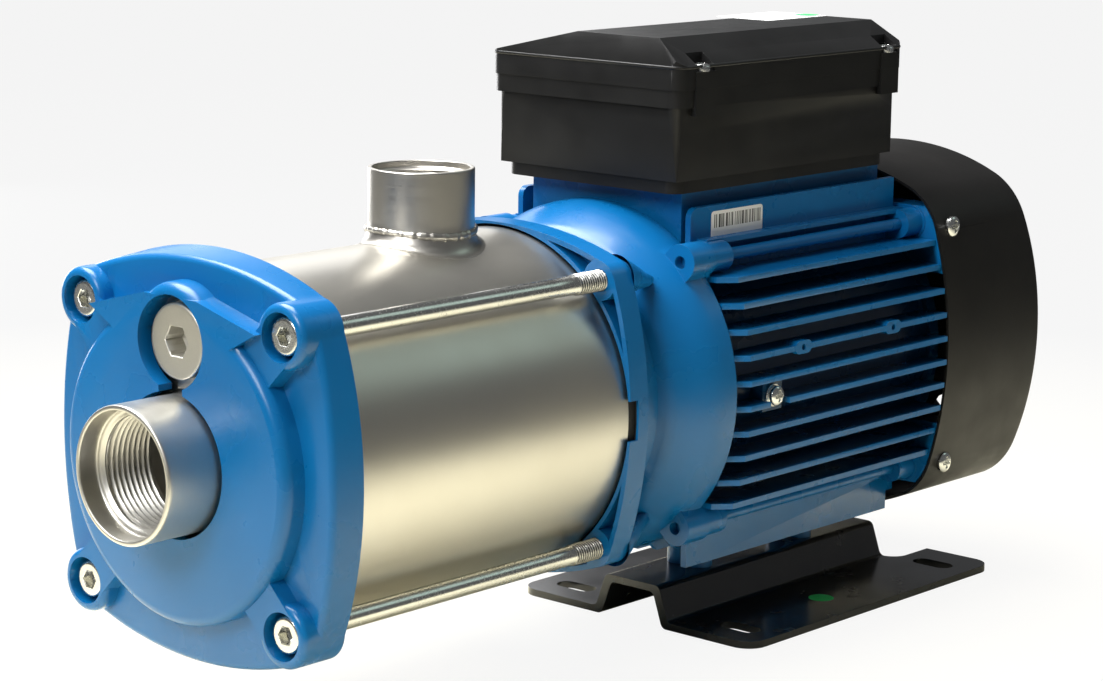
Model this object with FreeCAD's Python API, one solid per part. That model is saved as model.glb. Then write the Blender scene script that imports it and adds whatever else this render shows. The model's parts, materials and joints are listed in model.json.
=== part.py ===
import FreeCAD, Part
import math
import os

# Horizontal multistage pump with its close-coupled motor. Millimetres. Pieces are drawn with the shaft
# axis on X: x = 0 is the face of the front disc, +X runs towards the fan, +Z is up.
# At the end everything is set on the floor, with the middle of its length over the origin.

# Stations along the shaft
shaft_height = 105.8
suction_reach = 21.8
disc_rise = 9.0
bracket_wall = 6.0
bracket_depth = 21.5
casing_length = 153.0
casing_seat_depth = 6.0
flange_thickness = 10.0
adapter_length = 50.0
housing_length = 138.0
cover_gap = 0.5
cover_length = 72.7

# Clearances
seat_gap = 0.3
slip = 0.05
running_gap = 0.4
thread_play = 0.1
hole_play = 0.3
past = 1.0
full_turn = 360.0
hexagon_step = 60.0
hexagon_turn = 30.0
edge_break = 0.6

# Tie bolts, M8 with socket heads
bolt_half_pitch = 50.4
bolt_head_radius = 6.5
bolt_head_height = 8.0
bolt_head_depth = 5.0
bolt_chamfer = 0.8
bolt_shank_radius = 3.6
bolt_thread_radius = 4.0
bolt_thread_show = 14.0
bolt_end_depth = 15.0
bolt_hole_radius = 4.5
counterbore_radius = 8.4
bolt_socket_flats = 6.0
bolt_socket_depth = 4.0

# Front bracket
bracket_front_half_y = 69.0
bracket_front_half_z = 70.5
bracket_half_y = 70.8
bracket_half_z = 72.6
bracket_corner_radius = 11.0
bracket_boss_radius = 11.4
disc_radius = 56.0
disc_edge_round = 4.0
arm_set_back = 3.0
arm_half_width = 8.5
arm_draft = 1.4
lobe_radius = 20.5
keyhole_radius = 16.4
keyhole_neck = 12.0
tube_window_radius = 25.5
disc_hollow_radius = 48.0
bracket_edge_round = 2.5

# Casing
casing_radius = 64.5
casing_wall = 1.5
casing_head_thickness = 2.0
casing_edge_round = 4.0
casing_lip = 0.8
casing_hole_margin = 1.0

# Suction and discharge ports, G 1 1/4 and G 1, and the priming port, G 1/2
suction_radius = 24.0
suction_bore = 19.5
suction_lip_bore = 22.2
suction_lip_depth = 8.0
suction_base_flare = 1.2
discharge_station = 120.8
discharge_height = 91.1
discharge_radius = 19.5
discharge_bore = 15.15
discharge_lip_bore = 17.8
discharge_lip_depth = 2.5
discharge_flare = 4.0
plug_height = 42.3
plug_face_depth = 3.0
plug_flange_radius = 13.2
plug_flange_thickness = 3.0
plug_seal_thickness = 1.5
plug_thread_radius = 10.35
plug_thread_length = 9.0
plug_socket_flats = 10.0
plug_socket_depth = 7.0
fill_boss_radius = 13.4
fill_neck_half_width = 4.5

# Stages
stage_count = 4
stage_shell_radius = 55.5
stage_wall = 1.5
eye_radius = 17.9
guide_length = 17.0
outlet_length = 26.0
guide_tube_radius = 27.0
diffuser_radius = 48.0
diffuser_set_back = 13.0
return_vane_count = 5
impeller_radius = 46.0
impeller_front_gap = 2.0
impeller_vane_height = 6.4
shroud_thickness = 1.5
impeller_hub_radius = 9.5
impeller_vane_count = 5
vane_thickness = 1.6
outlet_window_count = 6
outlet_window_half_width = 9.0
nut_flats = 16.0
nut_height = 9.0

# Shaft, seal and bearings (17 x 40 x 12 deep groove)
wet_shaft_radius = 6.0
seal_shaft_radius = 7.0
bearing_bore = 8.5
shoulder_radius = 10.5
core_seat_radius = 11.0
fan_seat_radius = 6.5
bearing_outer = 20.0
bearing_width = 12.0
ball_count = 7
ball_radius = 3.37
ball_pitch_radius = 14.3
race_shoulder = 2.4
ball_play = 0.06
cage_half_thickness = 0.6
cage_width = 8.0
seal_ring_radius = 13.0
seal_ring_length = 8.0
seal_seat_radius = 15.4
seal_seat_length = 6.0
back_plate_thickness = 4.0
back_plate_hub_radius = 20.0
o_ring_section = 1.4
slinger_radius = 17.0
slinger_thickness = 2.5

# Motor bracket
flange_half = 66.5
flange_corner_radius = 7.0
flange_rim = 2.0
flange_ring_wall = 1.5
flange_boss_wall = 3.6
pocket_depth = 7.0
notch_half_height = 7.5
neck_radius = 57.0
neck_length = 17.0
bowl_start_radius = 61.5
bowl_radius = 69.7
adapter_wall = 4.0
hub_wall = 5.0
web_taper_near = 8.0
web_taper_far = 16.0
web_taper_run = 6.0
drain_bite = 4.0
web_thickness = 6.0
gusset_length = 26.0
gusset_tip_radius = 1.5
gusset_tilt = 6.0
gusset_half_thickness = 3.0
drain_window_height = 15.0
drain_start = 3.0
drain_low_end = 12.0
drain_high_end = 9.0
bracket_lug_length = 13.0
stud_half_pitch_y = 50.0
stud_half_pitch_z = 51.5
stud_radius = 2.4
stud_nut_height = 4.0
stud_nut_flats = 8.0
lug_radius = 7.0

# Stator housing
housing_bore = 56.3
housing_radius = 60.0
spigot_depth = 5.0
collar_length = 4.0
fin_count = 10
fin_pitch = 9.81
fin_thickness = 2.2
fin_tip_half_width = 70.5
fin_tip_arc_radius = 131.0
fin_chamfer = 6.5
fin_chamfer_depth = 5.5
side_wall_offset = 43.0
side_wall_height = 70.0
side_wall_thickness = 2.6
side_wall_round = 4.0
side_wall_end = 5.0
skirt_depth = 70.5
wall_ridge_height = 56.0
wall_ridge_thickness = 2.0
wall_ridge_reach = 5.0
wall_ridge_set_back = 4.0
pedestal_half_width = 38.0
pedestal_set_back = 2.0
pedestal_length = 128.0
wire_hole_radius = 12.0
wire_hole_set_back = 12.0
housing_lug_length = 12.0
rear_lug_length = 10.0
earth_station = 25.0
earth_height = -2.5
earth_pad_half = 6.0
earth_pad_depth = 4.3
earth_head_height = 3.0
earth_washer_thickness = 1.0
earth_washer_radius = 4.6
earth_head_radius = 3.9
earth_screw_radius = 2.0
earth_screw_length = 8.0
oval_stations = (40.0, 100.0)
oval_half_length = 2.6
oval_radius = 2.6
oval_hole_radius = 1.2
foot_pad_radius = 5.5
foot_pad_half_pitch_y = 4.9
foot_pad_stations = (59.0, 127.0)

# Stator and rotor
core_length = 85.0
core_set_back = 28.0
air_gap = 0.4
rotor_core_radius = 33.0
slot_count = 18
slot_depth = 13.0
slot_width = 6.0
winding_overhang = 13.0
end_ring_length = 8.0
end_ring_gap = 2.0
end_ring_radius = 27.0

# Rear end, fan and fan cover
shield_thickness = 6.0
shield_radius = 62.0
shield_hub_radius = 25.0
shield_lug_length = 13.0
shield_rib_count = 6
shield_rib_half = 1.5
shield_rib_set_back = 4.0
shield_rib_inset = 8.0
shield_spigot = 5.0
rear_bearing_set_back = 4.0
wave_washer_thickness = 1.0
fan_set_back = 28.0
fan_radius = 54.0
fan_length = 20.0
fan_hub_radius = 12.0
fan_blade_count = 8
fan_blade_thickness = 2.0
fan_disc_thickness = 2.0
fan_disc_dish = 3.0
fan_blade_chamfer = 5.0
fan_disc_margin = 1.0
clip_thickness = 1.2
clip_reach = 2.5
clip_bite = 0.7
clip_groove_depth = 0.8
cover_half_width = 70.7
cover_half_height = 76.0
cover_corner_y = 38.0
cover_corner_z = 41.8
cover_corner_radius = 26.4
cover_flat_radius = 50.0
cover_dome_radius = 75.0
cover_wall = 1.2
cover_edge_round = 4.0
grille_ring_count = 4
grille_inner_radius = 12.0
grille_slot_width = 5.0
grille_bar_width = 5.0
grille_spoke_half_width = 3.0
cover_screw_set_back = 9.5
cover_screw_height = 50.0
cover_screw_head_radius = 4.2
cover_screw_head_height = 2.8
cover_screw_radius = 2.0
cover_screw_length = 9.0

# Foot plate
foot_front = 244.0
foot_length = 171.0
foot_half_width = 61.5
foot_thickness = 3.0
foot_deck_height = 17.4
foot_deck_half_width = 14.0
foot_leg_run = 5.0
foot_bend_round = 3.0
foot_corner_radius = 9.0
foot_ear_length = 24.0
foot_ear_inset = 27.0
foot_ear_round = 8.0
slot_radius = 4.5
slot_length = 19.0
slot_front_set_back = 16.0
slot_pitch_x = 135.5
slot_half_pitch_y = 43.5
foot_screw_radius = 2.5
foot_screw_flats = 8.0
foot_screw_head = 4.0
foot_screw_bite = 12.0

# Terminal box
box_front_set_back = 11.5
box_length = 142.0
box_half_width = 46.6
box_floor_height = 76.0
box_step_height = 5.0
box_step_inset = 3.0
box_collar_height = 33.0
box_draft = 1.6
box_collar = 1.4
box_rim_height = 39.8
box_wall = 2.5
box_corner_radius = 6.0
lid_overhang = 1.8
lid_skirt_height = 9.0
lid_roof_height = 9.8
lid_inset_near = 14.0
lid_inset_far = 42.0
lid_inset_front = 4.5
lid_inset_rear = 5.0
pillar_inset = 11.5
pillar_set_back = 2.0
pillar_half_width = 6.0
pillar_height = 10.0
pillar_reach = 2.4
lid_screw_inset = 0.3
lid_screw_head_radius = 3.4
lid_screw_head_height = 3.2
lid_screw_radius = 2.0
lid_screw_length = 16.0
lid_notch_floor = 6.6
notch_wall = 1.6
lid_eave_share = 0.4
gasket_height = 1.5
gasket_width = 2.2
gasket_overhang = 0.4
capacitor_radius = 15.0
capacitor_set_back = 45.0
capacitor_wall_gap = 2.0
tab_length = 8.0
tab_spacing = 6.0
tab_half_width = 3.0
tab_half_thickness = 0.4
capacitor_length = 68.0
block_length = 52.0
block_bays = 5
block_set_back = 22.0
block_offset = 8.0
block_step = 4.0
block_fence = 1.5
block_screw_radius = 2.6
block_screw_height = 3.0
block_width = 18.0
block_height = 12.0
gland_hex_flats = 20.0
gland_rise = 16.0
gland_thread_radius = 8.0
gland_bore = 4.6
gland_bore_run = 60.0
gland_share = 0.7
gland_hex_length = 5.0
gland_dome_length = 15.0
gland_nut_length = 4.0

# Stations worked out from the lengths above
x_casing = disc_rise + bracket_wall
x_casing_end = x_casing + casing_length
x_flange = x_casing_end - casing_seat_depth
x_flange_end = x_flange + flange_thickness
x_rim = x_flange_end + adapter_length
x_tail = x_rim + housing_length
x_cover = x_tail + cover_gap
x_end = x_cover + cover_length
x_stack = x_casing + casing_head_thickness
x_back_plate = x_casing_end - back_plate_thickness
stage_pitch = (x_back_plate - x_stack - guide_length - outlet_length) / stage_count
x_first_stage = x_stack + guide_length
x_front_bearing = x_rim - 3.0 - bearing_width
x_rear_bearing = x_tail + rear_bearing_set_back
x_core = x_rim + core_set_back
x_fan = x_tail + fan_set_back
x_fan_end = x_fan + fan_length
x_web = x_front_bearing - 11.0
x_seal_seat = x_casing_end - 2.0 - seal_seat_length
x_box = x_rim - box_front_set_back
x_pedestal = x_rim + pedestal_set_back
plug_seat = plug_face_depth + plug_flange_thickness + plug_seal_thickness
floor_level = -shaft_height
stud_places = [(y, z) for y in (-stud_half_pitch_y, stud_half_pitch_y)
               for z in (-stud_half_pitch_z, stud_half_pitch_z)]
bolt_places = [(y, z) for y in (-bolt_half_pitch, bolt_half_pitch)
               for z in (-bolt_half_pitch, bolt_half_pitch)]
x_middle = (x_end - suction_reach) / 2.0


def point(x, y, z):
    """A point or direction."""
    return FreeCAD.Vector(x, y, z)


ALONG = point(1, 0, 0)
ACROSS = point(0, 1, 0)
UP = point(0, 0, 1)


def rod(x, length, radius, y=0.0, z=0.0):
    """Round bar along the shaft's direction, from x towards the fan."""
    return Part.makeCylinder(radius, length, point(x, y, z), ALONG)


def ring(x, length, outer, inner, y=0.0, z=0.0):
    """Round tube along the shaft's direction."""
    return rod(x, length, outer, y, z).cut(rod(x, length, inner, y, z))


def block(x0, x1, y0, y1, z0, z1):
    """Box between two corners."""
    return Part.makeBox(x1 - x0, y1 - y0, z1 - z0, point(x0, y0, z0))


def fused(shapes):
    """All the shapes as one, with faces that lie on one surface joined."""
    whole = shapes[0].fuse(shapes[1:]) if len(shapes) > 1 else shapes[0]
    return whole.removeSplitter()


def together(shapes):
    """Separate solids kept side by side in one piece list."""
    return Part.makeCompound(shapes)


def spun(profile):
    """Solid turned round the shaft axis from a closed profile of (x, radius) points."""
    corners = [point(x, 0, r) for x, r in profile]
    face = Part.Face(Part.makePolygon(corners + [corners[0]]))
    return face.revolve(point(0, 0, 0), ALONG, 360)


def prism(outline, start, direction):
    """Solid pushed from a closed list of points along a direction."""
    corners = [start + corner for corner in outline]
    return Part.Face(Part.makePolygon(corners + [corners[0]])).extrude(direction)


def hexagon(x, length, flats, y=0.0, z=0.0):
    """Hexagonal bar along the shaft's direction."""
    reach = flats / math.sqrt(3.0)
    turns = [math.radians(hexagon_step * k + hexagon_turn) for k in range(shield_rib_count)]
    corners = [point(x, y + reach * math.sin(t), z + reach * math.cos(t)) for t in turns]
    return prism(corners, point(0, 0, 0), point(length, 0, 0))


def turned_about_x(shape, degrees):
    """Copy turned round the shaft axis."""
    copy = shape.copy()
    copy.rotate(point(0, 0, 0), ALONG, degrees)
    return copy


def mirrored(shape, normal):
    """Mirror copy in the plane through the shaft axis with that normal."""
    return shape.mirror(point(0, 0, 0), normal)


def bow_radius(half, corner, corner_other, radius):
    """Radius of a bowed side that touches its middle point and both corner circles."""
    inset = corner - half
    return (radius ** 2 - inset ** 2 - corner_other ** 2) / (2.0 * (inset + radius))


def touch_point(corner, centre, radius):
    """Where a side with that centre runs tangent into the corner circle."""
    away = (corner - centre).normalize()
    return corner + away * radius


def bowed_outline(x, half_y, half_z, corner_y, corner_z, radius):
    """Outline of four bowed sides running tangent into four round corners."""
    corner = point(x, corner_y, corner_z)
    side_centre = point(x, half_y - bow_radius(half_y, corner_y, corner_z, radius), 0)
    top_centre = point(x, 0, half_z - bow_radius(half_z, corner_z, corner_y, radius))
    side_end = touch_point(corner, side_centre, radius)
    top_end = touch_point(corner, top_centre, radius)
    bisector = (side_end + top_end - corner * 2.0).normalize()
    corner_mid = corner + bisector * radius
    edges = []
    for sy, sz in ((1, 1), (-1, 1), (-1, -1), (1, -1)):
        a = point(x, sy * side_end.y, sz * side_end.z)
        b = point(x, sy * corner_mid.y, sz * corner_mid.z)
        c = point(x, sy * top_end.y, sz * top_end.z)
        edges.append(Part.Arc(a, b, c).toShape())
    for sy in (1, -1):
        a = point(x, sy * side_end.y, -side_end.z)
        b = point(x, sy * side_end.y, side_end.z)
        edges.append(Part.Arc(a, point(x, sy * half_y, 0), b).toShape())
    for sz in (1, -1):
        a = point(x, -top_end.y, sz * top_end.z)
        b = point(x, top_end.y, sz * top_end.z)
        edges.append(Part.Arc(a, point(x, 0, sz * half_z), b).toShape())
    return Part.Wire(Part.__sortEdges__(edges))


def bowed_square(x, length, half_y, half_z, corner_y, corner_z, radius):
    """Straight solid with a bowed outline."""
    outline = bowed_outline(x, half_y, half_z, corner_y, corner_z, radius)
    return Part.Face(outline).extrude(point(length, 0, 0))


def domed_body(x_start, x_back, outer, flat, dome_radius):
    """Turned body with a flat end face that rounds off towards its rim."""
    reach = outer - flat
    corners = []
    for step in (0.0, 0.5 * reach, reach):
        sag = dome_radius - math.sqrt(dome_radius ** 2 - step ** 2)
        corners.append(point(x_back - sag, 0, flat + step))
    rim = point(x_start, 0, outer)
    start = point(x_start, 0, 0)
    back = point(x_back, 0, 0)
    edges = [Part.makeLine(start, back), Part.makeLine(back, corners[0]),
             Part.Arc(corners[0], corners[1], corners[2]).toShape(),
             Part.makeLine(corners[2], rim), Part.makeLine(rim, start)]
    return Part.Face(Part.Wire(edges)).revolve(point(0, 0, 0), ALONG, 360)


def curved_vanes(x, height, inner, outer, count, thickness):
    """Backward-curved blades: each is the half of an off-centre ring between two radii."""
    arc_radius = 0.62 * outer
    arc_offset = 0.58 * outer
    curl = ring(x, height, arc_radius + thickness / 2.0, arc_radius - thickness / 2.0, arc_offset, 0)
    annulus = ring(x, height, outer, inner)
    one_side = block(x, x + height, -outer, outer + arc_offset, 0, outer)
    blade = curl.common(annulus).common(one_side)
    return [turned_about_x(blade, full_turn * k / count) for k in range(count)]


def rounded_box(x0, x1, y0, y1, z0, z1, radius):
    """Box with its four upright edges rounded."""
    body = block(x0, x1, y0, y1, z0, z1)
    upright = [e for e in body.Edges if abs(e.tangentAt(e.FirstParameter).z) > 0.99]
    return body.makeFillet(radius, upright)


# Front bracket and tie bolts


def bracket_platform():
    """Raised front: disc, lobe over the priming plug with its two shoulders, and four arms."""
    round_start = disc_radius - disc_edge_round
    disc_steps = [math.radians(a) for a in (0, 22.5, 45, 67.5, 90)]
    rim = [(disc_edge_round * (1 - math.cos(t)), round_start + disc_edge_round * math.sin(t))
           for t in disc_steps]
    disc = spun([(0, 0)] + rim + [(x_casing, disc_radius), (x_casing, 0)])
    lobe = rod(0, x_casing, lobe_radius, 0, plug_height)
    lobe_edge = [e for e in lobe.Edges if e.BoundBox.XMax < slip]
    lobe = lobe.makeFillet(disc_edge_round, lobe_edge[:1])
    arms = []
    reach = bolt_half_pitch * math.sqrt(2.0)
    for k in range(4):
        front = arm_half_width
        back = arm_half_width + arm_draft
        inner = disc_radius / 2.0
        outlines = []
        for x, half in ((arm_set_back, front), (x_casing, back)):
            corners = [point(x, -half, inner), point(x, half, inner), point(x, half, reach),
                       point(x, -half, reach), point(x, -half, inner)]
            outlines.append(Part.makePolygon(corners))
        arm = Part.makeLoft(outlines, True, True)
        arms.append(turned_about_x(arm, 45.0 + 90.0 * k))
    shoulder_z = plug_height + lobe_radius * math.sin(math.radians(50))
    shoulder_y = lobe_radius * math.cos(math.radians(50))
    shoulder = prism([point(0, -shoulder_y, shoulder_z), point(0, shoulder_y, shoulder_z),
                      point(0, bolt_half_pitch - arm_half_width, bolt_half_pitch),
                      point(0, 0, disc_radius / 2.0),
                      point(0, arm_half_width - bolt_half_pitch, bolt_half_pitch)],
                     point(slip, 0, 0), point(x_casing - slip, 0, 0))
    return fused([disc, lobe, shoulder] + arms)


def front_bracket():
    """Cast bracket: bowed skirt, raised platform, corner bosses, keyhole window, hollow back."""
    front = bowed_outline(disc_rise, bracket_front_half_y, bracket_front_half_z,
                          bolt_half_pitch, bolt_half_pitch, bracket_corner_radius)
    back = bowed_outline(bracket_depth, bracket_half_y, bracket_half_z,
                         bolt_half_pitch, bolt_half_pitch, bracket_corner_radius)
    skirt = Part.makeLoft([front, back], True, True)
    front_edges = [e for e in skirt.Edges if e.BoundBox.XMax < disc_rise + slip]
    skirt = skirt.makeFillet(bracket_edge_round, front_edges)
    bosses = []
    for y, z in bolt_places:
        boss = rod(arm_set_back, bracket_depth - arm_set_back, bracket_boss_radius, y, z)
        rim = [e for e in boss.Edges if e.BoundBox.XMax < arm_set_back + slip]
        bosses.append(boss.makeFillet(bracket_edge_round, rim[:1]))
    body = fused([skirt, bracket_platform()] + bosses)
    window = fused([rod(-slip, bracket_depth, keyhole_radius, 0, plug_height),
                    rod(-slip, bracket_depth, tube_window_radius),
                    block(-slip, bracket_depth, -keyhole_neck / 2.0, keyhole_neck / 2.0,
                          0, plug_height)])
    hollow = fused([rod(x_casing, bracket_depth, casing_radius + 2.0 * seat_gap),
                    rod(bracket_wall, x_casing, disc_hollow_radius)])
    body = body.cut(window).cut(hollow)
    for y, z in bolt_places:
        body = body.cut(rod(-slip, bolt_head_depth + bolt_head_height + slip, counterbore_radius, y, z))
        body = body.cut(rod(0, bracket_depth + slip, bolt_hole_radius, y, z))
    return body


def tie_bolts():
    """Four long screws: chamfered socket head, thin shank, thread into the motor bracket."""
    bolts = []
    head_end = bolt_head_depth + bolt_head_height
    thread_start = x_flange - bolt_thread_show
    thread_end = x_flange + bolt_end_depth
    for y, z in bolt_places:
        head = rod(bolt_head_depth, bolt_head_height, bolt_head_radius, y, z)
        rim = [e for e in head.Edges if e.BoundBox.XMax < bolt_head_depth + slip]
        head = head.makeChamfer(bolt_chamfer, rim[:1])
        head = head.cut(hexagon(bolt_head_depth - slip, bolt_socket_depth + slip,
                                bolt_socket_flats, y, z))
        shank = rod(head_end, thread_start - head_end, bolt_shank_radius, y, z)
        thread = rod(thread_start, thread_end - thread_start, bolt_thread_radius, y, z)
        bolts.append(fused([head, shank, thread]))
    return together(bolts)


# Pump end


def pump_casing():
    """Drawn stainless cup: flat head with a round edge, suction and priming holes, lipped rim."""
    cup = rod(x_casing, casing_length, casing_radius)
    front_edge = [e for e in cup.Edges if e.BoundBox.XMax < x_casing + slip]
    cup = cup.makeFillet(casing_edge_round, front_edge[:1])
    lip = rod(x_casing_end - casing_lip, casing_lip, casing_radius + casing_lip)
    inside = rod(x_stack, casing_length, casing_radius - casing_wall)
    body = fused([cup, lip]).cut(inside)
    body = body.cut(rod(x_casing - slip, casing_length / 2.0, suction_bore + casing_hole_margin))
    body = body.cut(rod(x_casing - slip, casing_length / 2.0, plug_thread_radius + slip, 0, plug_height))
    return body.cut(Part.makeCylinder(discharge_bore + casing_hole_margin, shaft_height,
                                      point(discharge_station, 0, 0), UP))


def suction_port():
    """Threaded tube at the front, welded on the casing head, with a thin lip at its mouth."""
    flare_start = x_casing - 3.0
    tube = spun([(-suction_reach, suction_lip_bore + edge_break),
                 (edge_break - suction_reach, suction_radius),
                 (flare_start, suction_radius), (x_casing, suction_radius + suction_base_flare),
                 (x_casing, suction_bore), (suction_lip_depth - suction_reach, suction_bore),
                 (suction_lip_depth - suction_reach, suction_lip_bore),
                 (-suction_reach, suction_lip_bore)])
    return tube


def discharge_port():
    """Threaded tube on top, saddled and welded on the casing."""
    base = casing_radius - 4.0
    weld_top = casing_radius + discharge_flare / 2.0
    profile = [(discharge_radius, discharge_height - edge_break),
               (discharge_lip_bore + edge_break, discharge_height),
               (discharge_lip_bore, discharge_height),
               (discharge_lip_bore, discharge_height - discharge_lip_depth),
               (discharge_bore, discharge_height - discharge_lip_depth), (discharge_bore, base),
               (discharge_radius + discharge_flare, base),
               (discharge_radius + discharge_flare * 0.7, casing_radius - 1.0),
               (discharge_radius + discharge_flare * 0.25, weld_top),
               (discharge_radius, weld_top + 2.5)]
    corners = [point(discharge_station + r, 0, z) for r, z in profile]
    face = Part.Face(Part.makePolygon(corners + [corners[0]]))
    tube = face.revolve(point(discharge_station, 0, 0), UP, 360)
    return tube.cut(rod(x_casing, casing_length, casing_radius))


def fill_boss():
    """Priming port: boss on the casing head with a short web down to the suction tube."""
    boss = rod(plug_seat, x_casing - plug_seat, fill_boss_radius, 0, plug_height)
    web = block(plug_seat, x_casing, -fill_neck_half_width, fill_neck_half_width, 0, plug_height)
    around_tube = rod(plug_seat - slip, x_casing, suction_radius + suction_base_flare + slip)
    bore = rod(plug_seat - slip, x_casing, plug_thread_radius + slip, 0, plug_height)
    return fused([boss, web]).cut(around_tube).cut(bore)


def fill_plug():
    """Priming plug: round flange with a hexagon socket, threaded shank."""
    flange = rod(plug_face_depth, plug_flange_thickness, plug_flange_radius, 0, plug_height)
    rim = [e for e in flange.Edges if e.BoundBox.XMax < plug_face_depth + slip]
    flange = flange.makeChamfer(edge_break, rim[:1])
    shank_start = plug_face_depth + plug_flange_thickness
    shank = rod(shank_start, plug_seal_thickness + plug_thread_length, plug_thread_radius, 0, plug_height)
    socket = hexagon(plug_face_depth - slip, plug_socket_depth + slip, plug_socket_flats, 0, plug_height)
    return fused([flange, shank]).cut(socket)


def fill_plug_seal():
    """Flat seal ring under the plug's flange."""
    start = plug_face_depth + plug_flange_thickness
    return ring(start, plug_seal_thickness, plug_flange_radius - past, plug_thread_radius + slip,
                0, plug_height)


def inlet_guide():
    """Tube and disc that lead the water from the suction port into the first eye."""
    disc_start = x_first_stage - stage_wall
    return spun([(x_stack, guide_tube_radius), (disc_start, guide_tube_radius),
                 (disc_start, stage_shell_radius), (x_first_stage, stage_shell_radius),
                 (x_first_stage, eye_radius), (disc_start, eye_radius),
                 (disc_start - 2.0, guide_tube_radius - stage_wall),
                 (x_stack, guide_tube_radius - stage_wall)])


def stage_chamber(start):
    """Stage cup: shell, diffuser disc, curved return vanes, rear wall with the next eye."""
    end = start + stage_pitch
    shell = ring(start, stage_pitch, stage_shell_radius, stage_shell_radius - stage_wall)
    wall = ring(end - stage_wall, stage_wall, stage_shell_radius, eye_radius)
    disc_start = start + diffuser_set_back
    bore = impeller_hub_radius + running_gap
    disc = ring(disc_start, stage_wall, diffuser_radius, bore)
    vane_start = disc_start + stage_wall
    vanes = curved_vanes(vane_start, end - stage_wall - vane_start, eye_radius + 2.0,
                         diffuser_radius - 1.0, return_vane_count, vane_thickness)
    return fused([shell, wall, disc] + vanes)


def outlet_chamber():
    """Last ring, behind the stages: windows let the water out round them."""
    start = x_back_plate - outlet_length
    shell = ring(start, outlet_length, stage_shell_radius, stage_shell_radius - stage_wall)
    half = outlet_window_half_width
    window = block(start + 5.0, x_back_plate - 5.0, -half, half,
                   stage_shell_radius / 2.0, stage_shell_radius + past)
    for k in range(outlet_window_count):
        shell = shell.cut(turned_about_x(window, full_turn * k / outlet_window_count))
    return shell


def impeller(start):
    """Closed impeller: hub, rear disc, curved vanes, front shroud with its eye neck."""
    shroud = start + impeller_front_gap
    vane_start = shroud + shroud_thickness
    disc_start = vane_start + impeller_vane_height
    neck_radius_outer = eye_radius - running_gap
    neck_inner = neck_radius_outer - shroud_thickness
    front = spun([(shroud, neck_radius_outer), (shroud, impeller_radius), (vane_start, impeller_radius),
                  (vane_start, neck_inner), (start - stage_wall, neck_inner),
                  (start - stage_wall, neck_radius_outer)])
    rear = rod(disc_start, shroud_thickness, impeller_radius)
    hub = rod(start, disc_start - start + shroud_thickness, impeller_hub_radius)
    vanes = curved_vanes(vane_start, impeller_vane_height, neck_inner - 1.5, impeller_radius - 0.5,
                         impeller_vane_count, vane_thickness)
    bore = rod(start - slip, stage_pitch, wet_shaft_radius + slip)
    return fused([front, rear, hub] + vanes).cut(bore)


def impeller_hub_length():
    """Length of an impeller's hub."""
    return impeller_front_gap + 2.0 * shroud_thickness + impeller_vane_height


def impeller_spacers():
    """Sleeves between the hubs, and a last one up to the seal's shoulder."""
    sleeves = []
    hub_length = impeller_hub_length()
    for k in range(stage_count - 1):
        start = x_first_stage + k * stage_pitch + hub_length
        sleeves.append(ring(start, stage_pitch - hub_length, impeller_hub_radius, wet_shaft_radius + slip))
    return together(sleeves)


def impeller_nut():
    """Dome nut that clamps the impellers on the shaft."""
    start = x_first_stage - nut_height
    nut = hexagon(start, nut_height, nut_flats)
    dome = rod(start - 3.0, 3.0, nut_flats / 2.0 - past)
    rim = [e for e in dome.Edges if e.BoundBox.XMax < start - 3.0 + slip]
    dome = dome.makeFillet(2.0, rim[:1])
    return fused([nut, dome]).cut(rod(start, nut_height + slip, wet_shaft_radius + slip))


def casing_back_plate():
    """Disc that closes the casing, with the seal seat's hub and the O-ring groove."""
    outer = casing_radius - casing_wall - seat_gap
    groove = outer - 2.0 * o_ring_section
    groove_start = x_casing_end - back_plate_thickness / 2.0 - o_ring_section
    groove_end = groove_start + 2.0 * o_ring_section
    front = x_seal_seat - 1.0
    seat_bore = seal_seat_radius + slip
    return spun([(x_back_plate, back_plate_hub_radius), (x_back_plate, outer), (groove_start, outer),
                 (groove_start, groove), (groove_end, groove), (groove_end, outer),
                 (x_casing_end, outer), (x_casing_end, seal_shaft_radius + 1.5),
                 (x_casing_end - 2.0, seal_shaft_radius + 1.5), (x_casing_end - 2.0, seat_bore),
                 (front, seat_bore), (front, back_plate_hub_radius)])


def casing_o_ring():
    """Round-section ring in the back plate's groove, against the casing wall."""
    centre = casing_radius - casing_wall - o_ring_section - slip
    middle = x_casing_end - back_plate_thickness / 2.0
    steps = [math.radians(45.0 * k + 22.5) for k in range(8)]
    return spun([(middle + o_ring_section * math.cos(t), centre + o_ring_section * math.sin(t))
                 for t in steps])


def seal_seat():
    """Stationary ring of the shaft seal, in the back plate's hub."""
    return ring(x_seal_seat, seal_seat_length, seal_seat_radius, seal_shaft_radius + 0.8)


def seal_rotating_ring():
    """Turning half of the shaft seal: carbon face on a stepped rubber bellows."""
    face = x_seal_seat - slip
    bore = seal_shaft_radius + slip
    start = face - seal_ring_length
    step = seal_ring_radius - 2.0
    return spun([(start, bore), (start, seal_ring_radius), (start + 3.0, seal_ring_radius),
                 (start + 3.5, step), (start + 5.0, step), (start + 5.5, seal_ring_radius),
                 (face, seal_ring_radius), (face, bore)])


# Shaft and bearings


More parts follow.
